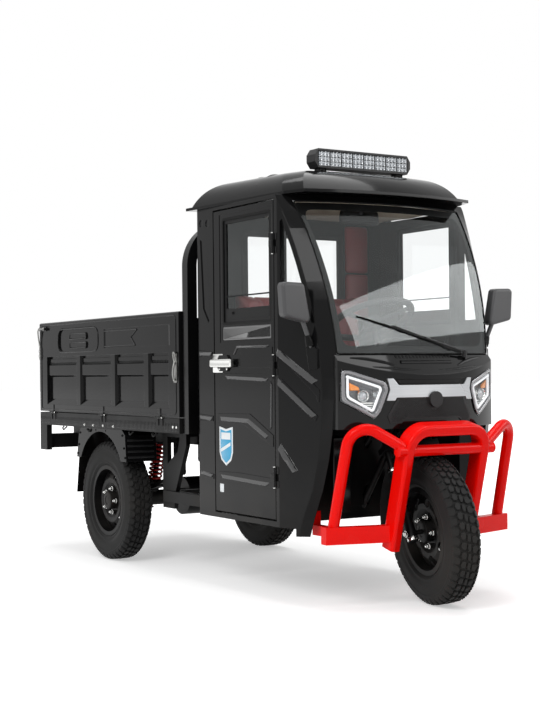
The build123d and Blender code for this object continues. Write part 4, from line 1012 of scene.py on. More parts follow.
@dataclass
class Headlamp(Flank):
    """One headlamp's bezel, bowl, light guide, projector and amber marker.

    Args:
        outline: Its outline seen from ahead on the right side, in y and z.
        eyes: The y, z and radius of its projectors.
    """

    outline: Outline = ((-362, 887), (-338, 889), (-206, 843), (-196, 815), (-228, 730), (-250, 706), (-362, 775))
    eyes: Sequence[Triple] = ((-282, 792, 23), (-236, 797, 13))

    def at(self, y: float, grow: float, z: float) -> Vector:
        """A place on the lamp, on its own side, grown from the nose's face."""
        return spot(nose_x(y, grow), -self.side.value * y, z)

    def build(self) -> None:
        """Builds the lamp's pieces."""
        bezel = ((1, 4.6), (2, 7.5), (4.5, 8.6), (10, 8), (12.5, 5.6), (10, 5))
        shape = bending(self.outline, 16.0, 4, 0.3, runs=5)
        self.mould("headlamp_bezel").press(shape, bezel, self.at, Ends.LOOP).cast(LAMP_BEZEL)
        bowl = (
            (11, 4.4), (15, -2), (17, -12), (24, -27), (38, -31), (38, -33), (20, -33),
            (11, -6),
        )
        cup = self.mould("headlamp_bowl").press(shape, bowl, self.at, Ends.LOOP)
        cup.press(shape, ((38, -31),), self.at, Ends.LAST).cast(LAMP_BOWL)
        line = [self.at(y, -3.0, z) for y, z in rounded(inset(self.outline, 24.0), 12.0, 4, 5)]
        self.mould("headlamp_light_guide").tube(line, 0.0052, loop=True).cast(LIGHT_GUIDE)
        self.projector()
        marker = ((-334, 846), (-296, 826), (-292, 812), (-326, 812))
        self.mould("headlamp_marker").press(marker, ((0, -22), (2.5, -9)), self.at).soften(0.0012).cast(AMBER)

    def projector(self) -> None:
        """Builds the projectors, their lenses and the small reflectors beside them."""
        shroud, lenses = self.mould("headlamp_projector"), self.mould("headlamp_lens")
        ahead = Vector((1, 0.12 * self.side.value, 0)).normalized()
        for y, z, size in self.eyes:
            r = size / 1000
            profile = ((0, r), (0.016, r), (0.019, r * 0.93), (0.016, r * 0.82), (0.006, r * 0.7), (0, r * 0.7))
            shroud.lathe(self.at(y, -30, z), ahead, profile, 36, True)
        for step in range(5):
            z = 768 - step * 8.5
            corners = ((-300 + step * 9, z), (-236, z), (-236, z - 5), (-298 + step * 9, z - 5))
            shroud.press(corners, ((0, -30), (0, -18 - step)), self.at)
        shroud.cast(BRIGHT)
        for (y, z, _), size in zip(self.eyes, (0.0185, 0.0103)):
            lenses.lathe(self.at(y, -24, z), ahead, [(-0.004, size)] + dome(size, 0.75, 6), 32)
        lenses.cast(LENS)


@dataclass
class LampBar:
    """The lenses, reflectors and brackets of the lamp bar on the roof.

    Args:
        face: How far ahead its recess's floor is.
        half: Half the recess's length.
        low: The recess's lower edge.
        high: Its upper edge.
        groups: How many groups of lenses it has.
        columns: How many lenses a group is wide.
        rows: How many rows of lenses it has.
    """

    face: float = 1452.0
    half: float = 220.0
    low: float = 1701.5
    high: float = 1758.5
    groups: int = 8
    columns: int = 3
    rows: int = 3

    def build(self) -> None:
        """Builds the reflectors, the lenses, the bars between them and the brackets."""
        group = 2 * self.half / self.groups
        wide, tall = (group - 4.0) / self.columns, (self.high - self.low) / self.rows
        cups, domes, bars = Mould("bar_reflectors"), Mould("bar_lenses"), Mould("bar_dividers")
        lens = dome(min(wide, tall) * 0.36 / 1000, 0.8, 3)
        rim = ((-1, -1), (0, -1), (1, -1), (1, 0), (1, 1), (0, 1), (-1, 1), (-1, 0))
        for g in range(self.groups):
            start = -self.half + g * group + 2.0
            if g:
                bars.slab(spot(self.face, start - 3.6, self.low), spot(self.face + 7.6, start - 0.4, self.high))
            for c, r in ((c, r) for c in range(self.columns) for r in range(self.rows)):
                y, z = start + (c + 0.5) * wide, self.low + (r + 0.5) * tall
                rings = []
                for out, share, corner in ((6.6, 0.5, 1), (6, 0.45, 1), (0.6, 0.27, 0.72)):
                    pulled = [(a, b, share * (corner if a and b else 1.0)) for a, b in rim]
                    x = self.face + out
                    rings.append(cups.ring([spot(x, y + a * p * wide, z + b * p * tall) for a, b, p in pulled]))
                cups.bridge(rings, Ends.LAST)
                domes.lathe(spot(self.face + 1.0, y, z), AHEAD, lens, 12)
        cups.cast(REFLECTOR)
        domes.cast(LENS)
        bars.cast(SEAL)
        feet = Mould("bar_brackets")
        ear = ((1412, 1680.3), (1444, 1680.3), (1441, 1701), (1432, 1708), (1424, 1708), (1415, 1701))
        for y in (-190, 190):
            for side in Side:
                edge = y + side.value * 15.5
                feet.prism([spot(x, edge, z) for x, z in ear], side.out * 0.003)
                feet.bolt(spot(1428, edge + side.value * 3, 1699), side.out, 0.0055)
            for x in (1408, 1448):
                feet.bolt(spot(x, y, 1680.1), UP, 0.005)
        feet.cast(SATIN)


@dataclass
class Nose:
    """The relief on the nose: grille studs, the slot over the bar, cowl creases and the bolt of the round cover.

    Args:
        grille: The grille's outline in y and z.
        pitch: The distance between two of its studs.
        cover: The x and z of the round cover's face.
    """

    grille: Outline = (
        (152, 779), (188, 716), (182, 695), (150, 695), (132, 709), (-132, 709), (-150, 695), (-182, 695),
        (-188, 716), (-152, 779),
    )
    pitch: float = 7.4
    cover: Pair = (1911.0, 776)

    def in_grille(self, y: float, z: float) -> bool:
        """Whether the grille holds a point that the round cover leaves free."""
        held = False
        for (ay, az), (by, bz) in zip(self.grille, (*self.grille[1:], self.grille[0])):
            if (az > z) != (bz > z) and y < (by - ay) * (z - az) / (bz - az) + ay:
                held = not held
        return held and math.hypot(y, z - self.cover[1]) > 36

    def build(self) -> None:
        """Builds the nose's relief."""
        studs, diamond = Mould("grille_studs"), ((1, 0), (0, 1), (-1, 0), (0, -1))
        row, z = 0, 690.0
        while z < 780:
            y = -196.0 + (self.pitch / 2 if row % 2 else 0.0)
            while y < 196:
                if self.in_grille(y, z):
                    rings = []
                    for grow, wide, tall in ((3.9, 0.42, 0.336), (5.9, 0.126, 0.1008)):
                        x, reach, rise = nose_x(y, grow), self.pitch * wide, self.pitch * tall
                        rings.append(studs.ring([spot(x, y + a * reach, z + b * rise) for a, b in diamond]))
                    studs.bridge(rings)
                y += self.pitch
            z += self.pitch * 0.5
            row += 1
        studs.cast(GRILLE)
        slot, steps = rounded(wedge(166, 150, 855, 835), 5, 3, 10), ((0, 0.2), (0, 1.6), (2.5, 2), (4, 0.6))
        Mould("nose_slot").press(slot, steps, lambda y, grow, z: spot(nose_x(y, grow), y, z), Ends.LAST).cast(SEAL)
        crease = Mould("cowl_creases")
        for hand in (-1, 1):
            for line, radius in (
                (((0.12, 318), (0.16, 262), (0.3, 196), (0.46, 150)), 0.008),
                (((0.5, 248), (0.55, 190), (0.62, 120), (0.66, 40)), 0.006),
            ):
                path = smooth_line([cowl_point(fall, hand * y, -3.5) for fall, y in line], 6)
                shares = [k / (len(path) - 1) for k in range(len(path))]
                crease.tube(path, [radius * (0.35 + 0.65 * swelling(share)) for share in shares], 10)
        crease.tube([cowl_point(0.3, -120 + 12 * k, -5.5) for k in range(21)], 0.0095, 10).cast(GLOSS)
        vents = Mould("cowl_vents")
        for y in range(-128, 129, 16):
            foot, top = ((-5, 5, 0.05, 0.17), 0.2), ((-4, 4, 0.06, 0.16), 2)
            vents.prism(*([cowl_point(fall, y + a, rise) for a, fall in box(*edges)] for edges, rise in (foot, top)))
        vents.cast(SEAL)
        x, z = self.cover
        ring = ((0, 0.0285), (0.0008, 0.0285), (0.0009, 0.026), (0.0002, 0.0245), (0, 0.0245))
        cover = Mould("nose_cover_ring").lathe(spot(x, 0, z), AHEAD, ring, 48, True)
        cover.lathe(spot(x + 0.2, 0, z), AHEAD, ((0, 0.0075), (0.0006, 0.007), (0.0006, 0)), 24).cast(SATIN)


@dataclass
class Door(Flank):
    """The bright handle, the window's seals and panes, and the hinge pins of one door.

    Args:
        face: How far out its outer face is.
        window: The limits of its window in x and z.
    """

    face: float = 460.0
    window: tuple[float, float, float, float] = (1104, 1474, 1080, 1509)

    def plate(self, name: str, shape: Shape, steps: Outline, finish: Finish, ends: Ends = Ends.BOTH) -> None:
        """Builds a flat piece of the door from its outline and its rings."""
        self.mould(name).press(shape, steps, self.at, ends).cast(finish, f"{self.side.word}_door")

    def frame(
        self, name: str, grow: float, width: float, near: float, far: float, finish: Finish, radius: float
    ) -> None:
        """Builds a rounded frame round the window.

        Args:
            name: The piece's name.
            grow: How far it reaches beyond the window.
            width: The width of its section.
            near: The depth of its outer face.
            far: The depth of its inner face.
            finish: What it is finished in.
            radius: Its outer corner radius.
        """
        x0, x1, z0, z1 = self.window
        corners = box(x0 - grow, x1 + grow, z0 - grow, z1 + grow)
        section = (
            (0, near + 1.5), (1.5, near), (width - 1.5, near), (width, near + 1.5), (width, far - 1.5),
            (width - 1.5, far), (1.5, far), (0, far - 1.5),
        )
        self.plate(name, bending(corners, radius, 5, 1.0, 3.0), section, finish, Ends.LOOP)

    def build(self) -> None:
        """Builds the door's pieces."""
        side, body = self.side, f"{self.side.word}_door"
        x0, x1, z0, _ = self.window
        self.frame("door_seal", 5, 13, 1.8, 5.8, SEAL, 20)
        self.frame("door_slider_rear", -2, 13, 18.5, 24.5, SATIN, 10)
        self.frame("door_slider_front", -2, 20, 7.0, 11.5, SATIN, 10)
        rail = self.mould("door_window_rail")
        for low, high, near in ((z0 + 20, z0 + 62, 6.6), (1189, 1195, 8.6)):
            rail.press(box(x0 + 20, x1 - 20, low, high), ((0, 11.4), (0, near + 1), (1, near)), self.at)
        rail.bolt(self.at(x0 + 74, 6.4, z0 + 44), side.out, 0.005).cast(SATIN, body)
        pane = rounded(box(x0 + 1, x1 - 1, 1015, 1069), 7)
        self.plate("door_low_pane", pane, ((0, 5.8), (0, 3.2), (1.5, 2.4), (6, 2.4), (7, 3)), SMOKED, Ends.LAST)
        lever = (
            (1038.5, 909), (1046, 905.6), (1202, 905.6), (1209.5, 909), (1209.5, 935), (1202, 938.4), (1046, 938.4),
            (1038.5, 935),
        )
        self.plate("door_lever", lever, ((0, -12.2), (0, -24.5), (2, -26.8), (7, -27.6), (9.5, -26.9)), BRIGHT)
        keeper = rounded(box(1030, 1112, 884, 960), 6, 3)
        self.plate("door_keeper", keeper, ((0, -0.1), (0, -5.2), (2.5, -6.6)), BRIGHT)
        lock = ((0, 0.0135), (0.0025, 0.0135), (0.0035, 0.012), (0.0035, 0.007), (0.0025, 0.006), (0.0025, 0))
        trim = self.mould("door_handle_trim").lathe(self.at(1178, -6.8, 922), side.out, lock, 32)
        for x in (1088, 1148):
            trim.lathe(self.at(x, -6.8, 898), side.out, ((0, 0.005), (0.0018, 0.0045), (0.0022, 0)))
        trim.cast(BRIGHT, body)
        pins = self.mould("door_hinge_pins")
        for z in (480, 910, 1378):
            for end in (-1, 1):
                foot = spot(1501.5, side.value * 466, z + end * 38.6)
                pins.lathe(foot, UP * end, ((0, 0.0058), (0.0025, 0.0058), (0.004, 0.004), (0.0042, 0)))
        pins.cast(BRIGHT)
        card = ((0, 25.2), (0, 27), (3, 29.6), (14, 29.8), (22, 27.8))
        self.plate("door_card", rounded(box(1082, 1455, 372, 1030), 18), card, MOULDED, Ends.LAST)


# Lines of x and z that the pressed ledges follow, with each ledge's height.
DOOR_LEDGES: Sequence[tuple[Outline, float]] = (
    (((1130, 872), (1456, 862)), 14),
    (((1084, 706), (1306, 702), (1452, 640)), 18),
    (((1084, 470), (1458, 458)), 16),
    (((1188, 960), (1216, 992), (1462, 990)), 10),
    (((1469, 850), (1463, 660)), 9),
)
CAB_LEDGES: Sequence[tuple[Outline, float]] = (
    (((914, 972), (1018, 970)), 16),
    (((914, 708), (1018, 702)), 16),
    (((914, 476), (1018, 466)), 14),
    (((1524, 975), (1722, 853)), 26),
    (((1526, 862), (1716, 724)), 24),
    (((1538, 612), (1622, 514)), 28),
)


@dataclass
class Pressings(Flank):
    """The raised ledges pressed into one side of the cab and its door, whose upper faces catch the light; their paler
    paint is a painted highlight.

    Args:
        face: How far out a ledge lies where it passes a hole.
        proud: How far a ledge's lower edge stands out, in metres.
        runs: How many runs each straight part has.
        start: How far outside the face the search for the panel starts.
        least: How far out the panel lies at least, in metres.
    """

    face: float = 440.0
    proud: float = 0.0045
    runs: int = 16
    start: float = 260.0
    least: float = 0.35

    def skin(self, tree: BVHTree, x: float, z: float) -> Vector:
        """The place on a panel's outer face at x and z, or on its plane beside a hole."""
        hit = tree.ray_cast(self.at(x, -self.start, z), -self.side.out)[0]
        return hit if hit is not None and abs(hit.y) > self.least else self.at(x, 0, z)

    def ledge(self, mould: Mould, tree: BVHTree, line: Outline, tall: float) -> None:
        """Adds one ledge along a line of x and z."""
        out, sunk = self.side.out * self.proud, self.side.out * -0.0006
        parts = [(Vector(a), Vector(b)) for a, b in zip(line, line[1:])]
        dense = [a.lerp(b, k / self.runs) for a, b in parts for k in range(self.runs)] + [Vector(line[-1])]
        last = len(dense) - 1
        rings = []
        for k, point in enumerate(dense):
            ahead = (dense[min(k + 1, last)] - dense[max(k - 1, 0)]).normalized()
            down = Vector((ahead.y, -ahead.x)) * (1 if ahead.x > 0 else -1)
            thin = min(1, 0.15 + 0.85 * min(k, last - k))
            ring = []
            for share, rise in ((0, 0), (0.35, 0.35), (0.8, 0.95), (0.93, 1), (1.12, 0)):
                q = point + down * tall * share * thin
                ring.append(self.skin(tree, q.x, q.y) + (out * rise * thin if rise else sunk))
            rings.append(mould.ring(ring))
        mould.bridge(rings)

    def build(self) -> None:
        """Builds the door's ledges and the cab's."""
        word = self.side.word
        for name, node, body, lines in (
            ("door_ledges", f"door_{word}", f"{word}_door", DOOR_LEDGES),
            ("cab_ledges", "cab_sides", "chassis", CAB_LEDGES),
        ):
            mesh = frame["nodes"][node].data
            tree = BVHTree.FromPolygons([v.co for v in mesh.vertices], [tuple(f.vertices) for f in mesh.polygons])
            mould = self.mould(name)
            for line, tall in lines:
                self.ledge(mould, tree, line, tall)
            # The ledges take the paler finish, a painted highlight along them.
            mould.cast(LEDGE_HIGHLIGHT, body, crease=25.0)


@dataclass
class SideGate(Flank):
    """The toothed strips, latch, hooks, relief and hinge pins of one drop side.

    Args:
        posts: Where its posts are, with its ends, as x.
        hinges: Where its hinges are, as x.
    """

    posts: Sequence[float] = (-625, -240, 150, 490, 705)
    hinges: Sequence[float] = (-550, 40, 620)

    def teeth(self) -> Mould:
        """Adds the toothed strips between the posts."""
        strip = self.mould("gate_teeth")
        tooth = ((-0.5, 941), (0.5, 941), (0.42, 934), (0.2, 929.5), (0, 928), (-0.2, 929.5), (-0.42, 934))
        for a, b in zip(self.posts, self.posts[1:]):
            start = a + (44 if a != self.posts[0] else 4)
            end = b - (44 if b != self.posts[-1] else 4)
            count = max(2, int((end - start) / 21))
            wide = (end - start) / count
            for x in (start + wide * (k + 0.5) for k in range(count)):
                strip.prism([self.at(x + wide * share, 15.8, z) for share, z in tooth], self.side.out * 0.0035)
        return strip

    def latch(self, x: float = 770.0, z: float = 905.0) -> Mould:
        """Adds the latch at x and z, with its plate, ring, lever and rivets."""
        latch, out = self.mould("gate_latch"), self.side.out
        latch.prism([self.at(x + a, 0.2, z + b) for a, b in box(-14, 14, -62, 62)], out * 0.003)
        turns = [(math.cos(t), math.sin(t)) for t in angles(24)]
        latch.tube([self.at(x + 9 * c, -6 - 4 * s, z + 46 + 22 * s) for c, s in turns], 0.003, loop=True)
        bend = ((0, -5, 28), (2, -12, 4), (-1, -13, -26), (0, -7.5, -54))
        lever = smooth_line([self.at(x + a, depth, z + b) for a, depth, b in bend])
        latch.tube(lever, [0.0045] * (len(lever) - 1) + [0.0062], 10)
        for b in (-50, 50):
            latch.bolt(self.at(x - 8, -3.0, z + b), out, 0.004, False)
        return latch

    def hook(self) -> Mould:
        """Adds the corner's hook with its short chain."""
        bend = (
            (-640, -15.5, 1116), (-672, -16, 1117), (-704, -15, 1110), (-712, -12, 1086), (-712, -7, 1050),
            (-706, -5, 1020),
        )
        hook = self.mould("gate_corner_hook").tube(smooth_line([self.at(*place) for place in bend]), 0.0034)
        for step in range(5):
            centre = self.at(-704, -6, 1014 - step * 12)
            wide = (self.side.out if step % 2 else AHEAD) * 0.005
            hook.tube([centre + wide * math.cos(t) + UP * 0.0085 * math.sin(t) for t in angles(14)], 0.0014, 6, True)
        return hook.bolt(self.at(-636, -15, 1116), self.side.out, 0.006)

    def relief(self) -> Mould:
        """Adds the thin outlines round the recess, its bars and the panel."""
        relief = self.mould("gate_relief")
        arrow = ((45, 1012), (385, 1012), (337, 1049), (402, 1084), (52, 1084))
        for points, radius, steps, depth in (
            (box(-480, -7, 992, 1107), 48, 6, 0),
            (((-342, 1055), (-146, 1055), (-150, 1082), (-338, 1082)), 8, 3, 2.2),
            (((-338, 1011), (-150, 1011), (-146, 1038), (-342, 1038)), 8, 3, 2.2),
            (arrow, 9, 3, 3.4),
            (box(-694, 774, 706, 1132), 22, 4, 0.4),
        ):
            relief.tube([self.at(x, depth, z) for x, z in rounded(points, radius, steps)], 0.0032, loop=True)
        return relief

    def build(self) -> None:
        """Builds the gate's pieces."""
        body = f"{self.side.word}_gate"
        for mould, finish in (
            (self.teeth(), SEAL), (self.latch(), WORN_STEEL), (self.hook(), WORN_STEEL), (self.relief(), GLOSS)
        ):
            mould.cast(finish, body)
        pins = self.mould("gate_hinge_pins")
        for x in self.hinges:
            for end in (-1, 1):
                foot = spot(x + end * 29.6, self.side.value * 506, 690)
                pins.lathe(foot, AHEAD * end, ((0, 0.0046), (0.0015, 0.0046), (0.0028, 0.003), (0.003, 0)), 16)
        pins.cast(BRIGHT)


@dataclass
class Sill(Flank):
    """The fine flutes, bolts and rope hooks of one side of the bed's sill.

    Args:
        pitch: The distance between two flutes.
    """

    pitch: float = 13.5

    def build(self) -> None:
        """Builds the flutes, bolts and rope hooks."""
        out, flutes = self.side.out, self.mould("sill_flutes")
        section = ((-4.2, 0), (-2.2, 0.8), (0, 1), (2.2, 0.8), (4.2, 0))
        x = -706.0
        while x < 786:
            if min(abs(x - hinge) for hinge in SideGate.hinges) > 40:
                rings = []
                for z, rise in ((633, 0), (636, 1.1), (668, 1.1), (671, 0)):
                    rings.append(flutes.ring([self.at(x + a, 0.05 - b * rise, z) for a, b in section]))
                flutes.bridge(rings, Ends.NONE, False)
            x += self.pitch
        flutes.cast(GLOSS)
        bolts, rivet = self.mould("sill_bolts"), ((0, 0.0065), (0.0022, 0.006), (0.0032, 0.003), (0.0033, 0))
        for x in (742, 774):
            bolts.lathe(self.at(x, 0, 652), out, rivet)
        for x in (-170, -70, 40, 150):
            bolts.bolt(self.at(x, 0, 638), out, 0.0042)
        bolts.cast(BRIGHT)
        hooks = self.mould("sill_rope_hooks")
        bend = ((-18, 10, 622), (-17, 2, 616), (0, -1, 606), (17, 2, 616), (18, 10, 622))
        for x in (-420, -120, 330, 560):
            hooks.tube(smooth_line([self.at(x + a, depth, z) for a, depth, z in bend]), 0.0036)
        hooks.cast(SATIN)


@dataclass
class Suspension:
    """The red coils round the dampers beside the rear springs.

    Args:
        turns: How many turns a coil has.
        radius: Its radius, in metres.
        wire: Half the thickness of its wire.
        low: Where it starts, as a share of the damper's length.
        high: Where it ends.
    """

    turns: float = 9.0
    radius: float = 0.03
    wire: float = 0.0052
    low: float = 0.24
    high: float = 0.86

    def build(self) -> None:
        """Builds a coil and its cups on each side."""
        for side in Side:
            foot, head = spot(0, side.value * 222, 302), spot(96, side.value * 222, 596)
            axis, length = (head - foot).normalized(), (head - foot).length
            out = Side.LEFT.out
            other = axis.cross(out)
            steps = int(self.turns * 20)
            line = []
            for share in (k / steps for k in range(steps + 1)):
                rise = length * (self.low + (self.high - self.low) * share)
                line.append(foot + axis * rise + spoke(out, other, 2 * math.pi * self.turns * share) * self.radius)
            Mould(f"damper_coil_{side.word}").tube(line, self.wire, 10).cast(COIL_RED)
            cups = Mould(f"damper_cups_{side.word}")
            for share, wide, tall, count in (
                (self.low - 0.03, 0.036, 0.006, 36),
                (self.high + 0.012, 0.036, 0.006, 36),
                (0.02, 0.021, length * 0.17, 32),
            ):
                cup = ((0, 0.0135), (0, wide), (tall, wide), (tall, 0.0135))
                cups.lathe(foot + axis * length * share, axis, cup, count, True)
            cups.cast(SATIN)


@dataclass
class Cabin:
    """What shows through the glass: linings, the driver's mirror, dials, glass borders and sliding frames.

    Args:
        wall: How far ahead the inner face of the rear wall is.
    """

    wall: float = 930.2

    def lining(self) -> None:
        """Builds the headlining, a bent sheet with ribs."""
        mould = Mould("headlining")
        columns, rows = 22, 18
        sheets = []
        for drop in (0, 3):
            lines = []
            for y in (-422 + 844 * i / columns for i in range(columns + 1)):
                run = SCREEN_AXIS + math.sqrt(1078**2 - y**2) - 938
                top = 1551 + 6 * (1 - (y / 430) ** 2) - drop
                shares = [k / rows for k in range(rows + 1)]
                lines.append(mould.ring([spot(938 + run * k, y, top - 2.5 * math.cos(12.6 * k)) for k in shares]))
            sheets.append(lines)
        for lines in sheets:
            mould.bridge(lines, Ends.NONE, False)
        rim = [(i, 0) for i in range(columns)] + [(columns, k) for k in range(rows)]
        rim += [(i, rows) for i in range(columns, 0, -1)] + [(0, k) for k in range(rows, 0, -1)]
        mould.bridge([[lines[i][k] for i, k in rim] for lines in sheets], Ends.NONE).cast(HEADLINING)

    def rear_wall(self) -> None:
        """Builds the padded red panels, the window's frames and the screws of the rear wall."""
        panel = Mould("rear_wall_panels")
        for z0, z1 in ((1110, 1318), (1324, 1532)):
            swell = ((0, 0), (0, 4), (3, 8), (9, 11), (24, 13), (50, 14))
            shape = bending(box(276, 398, z0, z1), 16, fall=0.25)
            panel.press(shape, swell, lambda y, out, z: spot(self.wall + out, y, z))
        panel.cast(SEAT_RED, crease=60)
        window = Mould("rear_window_frame")
        for half, z0, z1, radius, steps, section in (
            (262, 1088, 1492, 20, 4, ((0, 930.2), (0, 936), (3, 938), (17, 938), (20, 935), (20, 930.2))),
            (250, 1100, 1480, 8, 3, ((1, 931.5), (1, 936.5), (16, 936.5), (16, 931.5))),
        ):
            window.press(bending(wedge(half, half, z0, z1), radius, steps), section, ends=Ends.LOOP)
        window.slab(spot(936.6, -238, 1124), spot(940, 238, 1142)).cast(SEAL)
        screws = Mould("rear_wall_screws")
        for y, z in ((-60, 1515), (60, 1515), (-300, 1070), (300, 1070)):
            screws.lathe(spot(self.wall, y, z), AHEAD, ((0, 0.007), (0.0016, 0.0066), (0.0022, 0)))
        screws.cast(BRIGHT)

    def mirror(self) -> None:
        """Builds the driver's mirror under the lining."""
        points = rounded(wedge(98, 92, 1478, 1538), 18, 5)
        head = Mould("driver_mirror").press(points, ((5, 1417), (0, 1420), (0, 1429), (4, 1435), (14, 1439)))
        stalk = [spot(x, 0, z) for x, z in ((1434, 1524), (1446, 1540), (1450, 1553))]
        head.tube(stalk, (0.009, 0.008, 0.014), 14).cast(MOULDED)
        Mould("driver_mirror_glass").press(points, ((7, 1416.8), (8, 1416))).cast(MIRROR)

    def screen(self) -> None:
        """Builds the black border of the windscreen and the seal of its edge."""
        outer, inner = rounded(wedge(355, 397, 953, 1533), 10, 4, 14), rounded(wedge(334, 378, 978, 1504), 38, 4, 14)
        border = Mould("windscreen_border")
        steps = ((0, 5.4), (1, 5.4), (1, 6.6), (0, 6.6))
        border.press(lambda within: inner if within else outer, steps, glass_point, Ends.LOOP).cast(SEAL)
        seal = [glass_point(y, -0.6, z) for y, z in rounded(wedge(360, 402, 949, 1538), 8, 3, 16)]
        Mould("windscreen_seal").tube(seal, 0.0028, loop=True).cast(SEAL)

    def dials(self) -> None:
        """Builds the dial pod and its two dials."""
        lean, foot = 0.35, 948

        def leaning(y: float, x: float, z: float) -> Vector:
            """A place on a face that leans forwards."""
            return spot(x + lean * (z - foot), y, z)

        pod = ((4, 1700), (0, 1690), (0, 1655), (5, 1650), (9, 1653), (11, 1660))
        Mould("dial_pod").press(rounded(wedge(92, 78, foot, 1012), 26, 5), pod, leaning).cast(MOULDED)
        face, radius = Mould("dial_faces"), 0.024
        rim = ((0, radius), (0.0055, radius), (0.0065, radius * 0.95), (0.003, radius * 0.88), (0.003, 0))
        for y in (-36, 36):
            face.lathe(leaning(y, 1660, 980), Vector((-1, 0, lean)), rim, 36)
        face.cast(SILVER)

    def build(self) -> None:
        """Builds the cabin's pieces."""
        for part in (self.lining, self.rear_wall, self.mirror, self.screen, self.dials):
            part()


@dataclass
class DoorMirror(Flank):
    """The reflecting glass and the gasket of one door mirror.

    Args:
        outline: The glass's outline on the right side, in y and z.
    """

    outline: Outline = ((-548, 1206), (-470, 1203), (-443, 1072), (-541, 1098))

    def at(self, y: float, x: float, z: float) -> Vector:
        """A place on the mirror, on its own side."""
        return spot(x, -self.side.value * y, z)

    def build(self) -> None:
        """Builds the glass and the foot's gasket."""
        steps = ((0, 1683.9), (0, 1682.2), (1.5, 1681.6), (12, 1681.2))
        self.mould("mirror_glass").press(rounded(inset(self.outline, 1.0), 14, 5), steps, self.at).cast(MIRROR)
        low, high = self.at(-424, 1693.4, 984), self.at(-452, 1698.3, 1054)
        boot = (
            (0, 0.0095), (0, 0.017), (0.008, 0.0155), (0.014, 0.0165), (0.022, 0.0135), (0.03, 0.0125),
            (0.04, 0.0095),
        )
        self.mould("mirror_boot").lathe(low, high - low, boot, 28, True).cast(SEAL)


@dataclass
class Fittings:
    """Small fittings: fender ribs, the wiper's blade, tail lamp lenses, plain plates and fender bolts."""

    def ribs(self) -> None:
        """Builds the ribs across the front slope of the rear fenders and the wiper's blade."""
        ribs = Mould("fender_ribs")
        for side in Side:
            for z in (498, 524, 550, 576):
                x = 276 - (z - 478) * 0.1
                bend = ((352, -3), (372, 1.6), (466, 1.6), (486, -1))
                ribs.tube([spot(x + out, side.value * y, z) for y, out in bend], 0.0055, 10)
        ribs.cast(MOULDED)
        blade = Mould("wiper_blade")
        rings = []
        for share in (k / 12 for k in range(13)):
            y, z = 150 - 425 * share, 965 + 125 * share
            thick = 2.2 + 3.0 * swelling(share)
            section = ((-1, -1.2), (-0.5, -6.0 - thick), (0.5, -6.0 - thick), (1, -1.2))
            rings.append(blade.ring([glass_point(y, deep, z + thick * wide) for wide, deep in section]))
        blade.bridge(rings).cast(SEAL)

    def tails(self) -> None:
        """Builds the ribbed lenses of the tail lamps and the plate holder between them."""
        for side in Side:
            lens = Flank(side).mould("tail_lens")
            steps = ((0, -717.9), (0, -719), (2, -719.8))
            shape = rounded(box(331, 439, 516, 564), 8)
            lens.press(shape, steps, lambda y, x, z: spot(x, side.value * y, z)).cast(LAMP_RED)
        steps = ((0, -712.2), (0, -715.5), (2, -716.2), (8, -716.2), (9, -715.4))
        plate = Mould("rear_plate_holder").press(rounded(wedge(110, 110, 512, 568), 6, 3), steps)
        for y in (-80, 80):
            plate.bolt(spot(-716, y, 540), -AHEAD, 0.005)
        plate.cast(SATIN)

    def plates(self) -> None:
        """Builds the blue shield and the small pale plate on the right door."""
        shield = (
            (1073, 664), (1126, 654), (1180, 664), (1180, 560), (1166, 528), (1126, 506), (1088, 528), (1073, 560)
        )
        bar, stripe = box(1090, 1164, 640, 612), ((1088, 560), (1164, 588), (1164, 602), (1088, 574))
        small, door = rounded(box(1074, 1104, 396, 430), 3, 3), Door(Side.RIGHT)
        for name, finish, forms in (
            ("door_shield", BADGE_EDGE, {shield: ((0, -0.1), (0, -1.2), (1.2, -1.6))}),
            ("door_shield_core", BADGE_BLUE, {shield: ((9, -1.4), (9, -2), (10, -2.3))}),
            (
                "door_shield_band",
                BADGE_EDGE,
                {tuple(bar): ((0, -2.2), (0, -2.7), (1, -2.9)), stripe: ((0, -2.2), (0, -2.9))},
            ),
            ("door_small_plate", BADGE_EDGE, {tuple(small): ((0, -0.1), (0, -0.9), (1, -1.2))}),
        ):
            mould = Mould(name)
            for outline, steps in forms.items():
                mould.press(outline, steps, door.at)
            mould.cast(finish, "right_door")

    def fender_bolts(self) -> None:
        """Builds the bolts that hold the rear fenders and flaps."""
        bolts = Mould("fender_bolts")
        for side in Side:
            for x, z in ((-232, 598), (-246, 540), (-258, 496), (236, 598), (252, 540), (264, 496)):
                bolts.bolt(spot(x, side.value * 496, z), side.out, 0.0045)
        bolts.cast(SATIN)

    def build(self) -> None:
        """Builds the fittings."""
        for part in (self.ribs, self.tails, self.plates, self.fender_bolts):
            part()


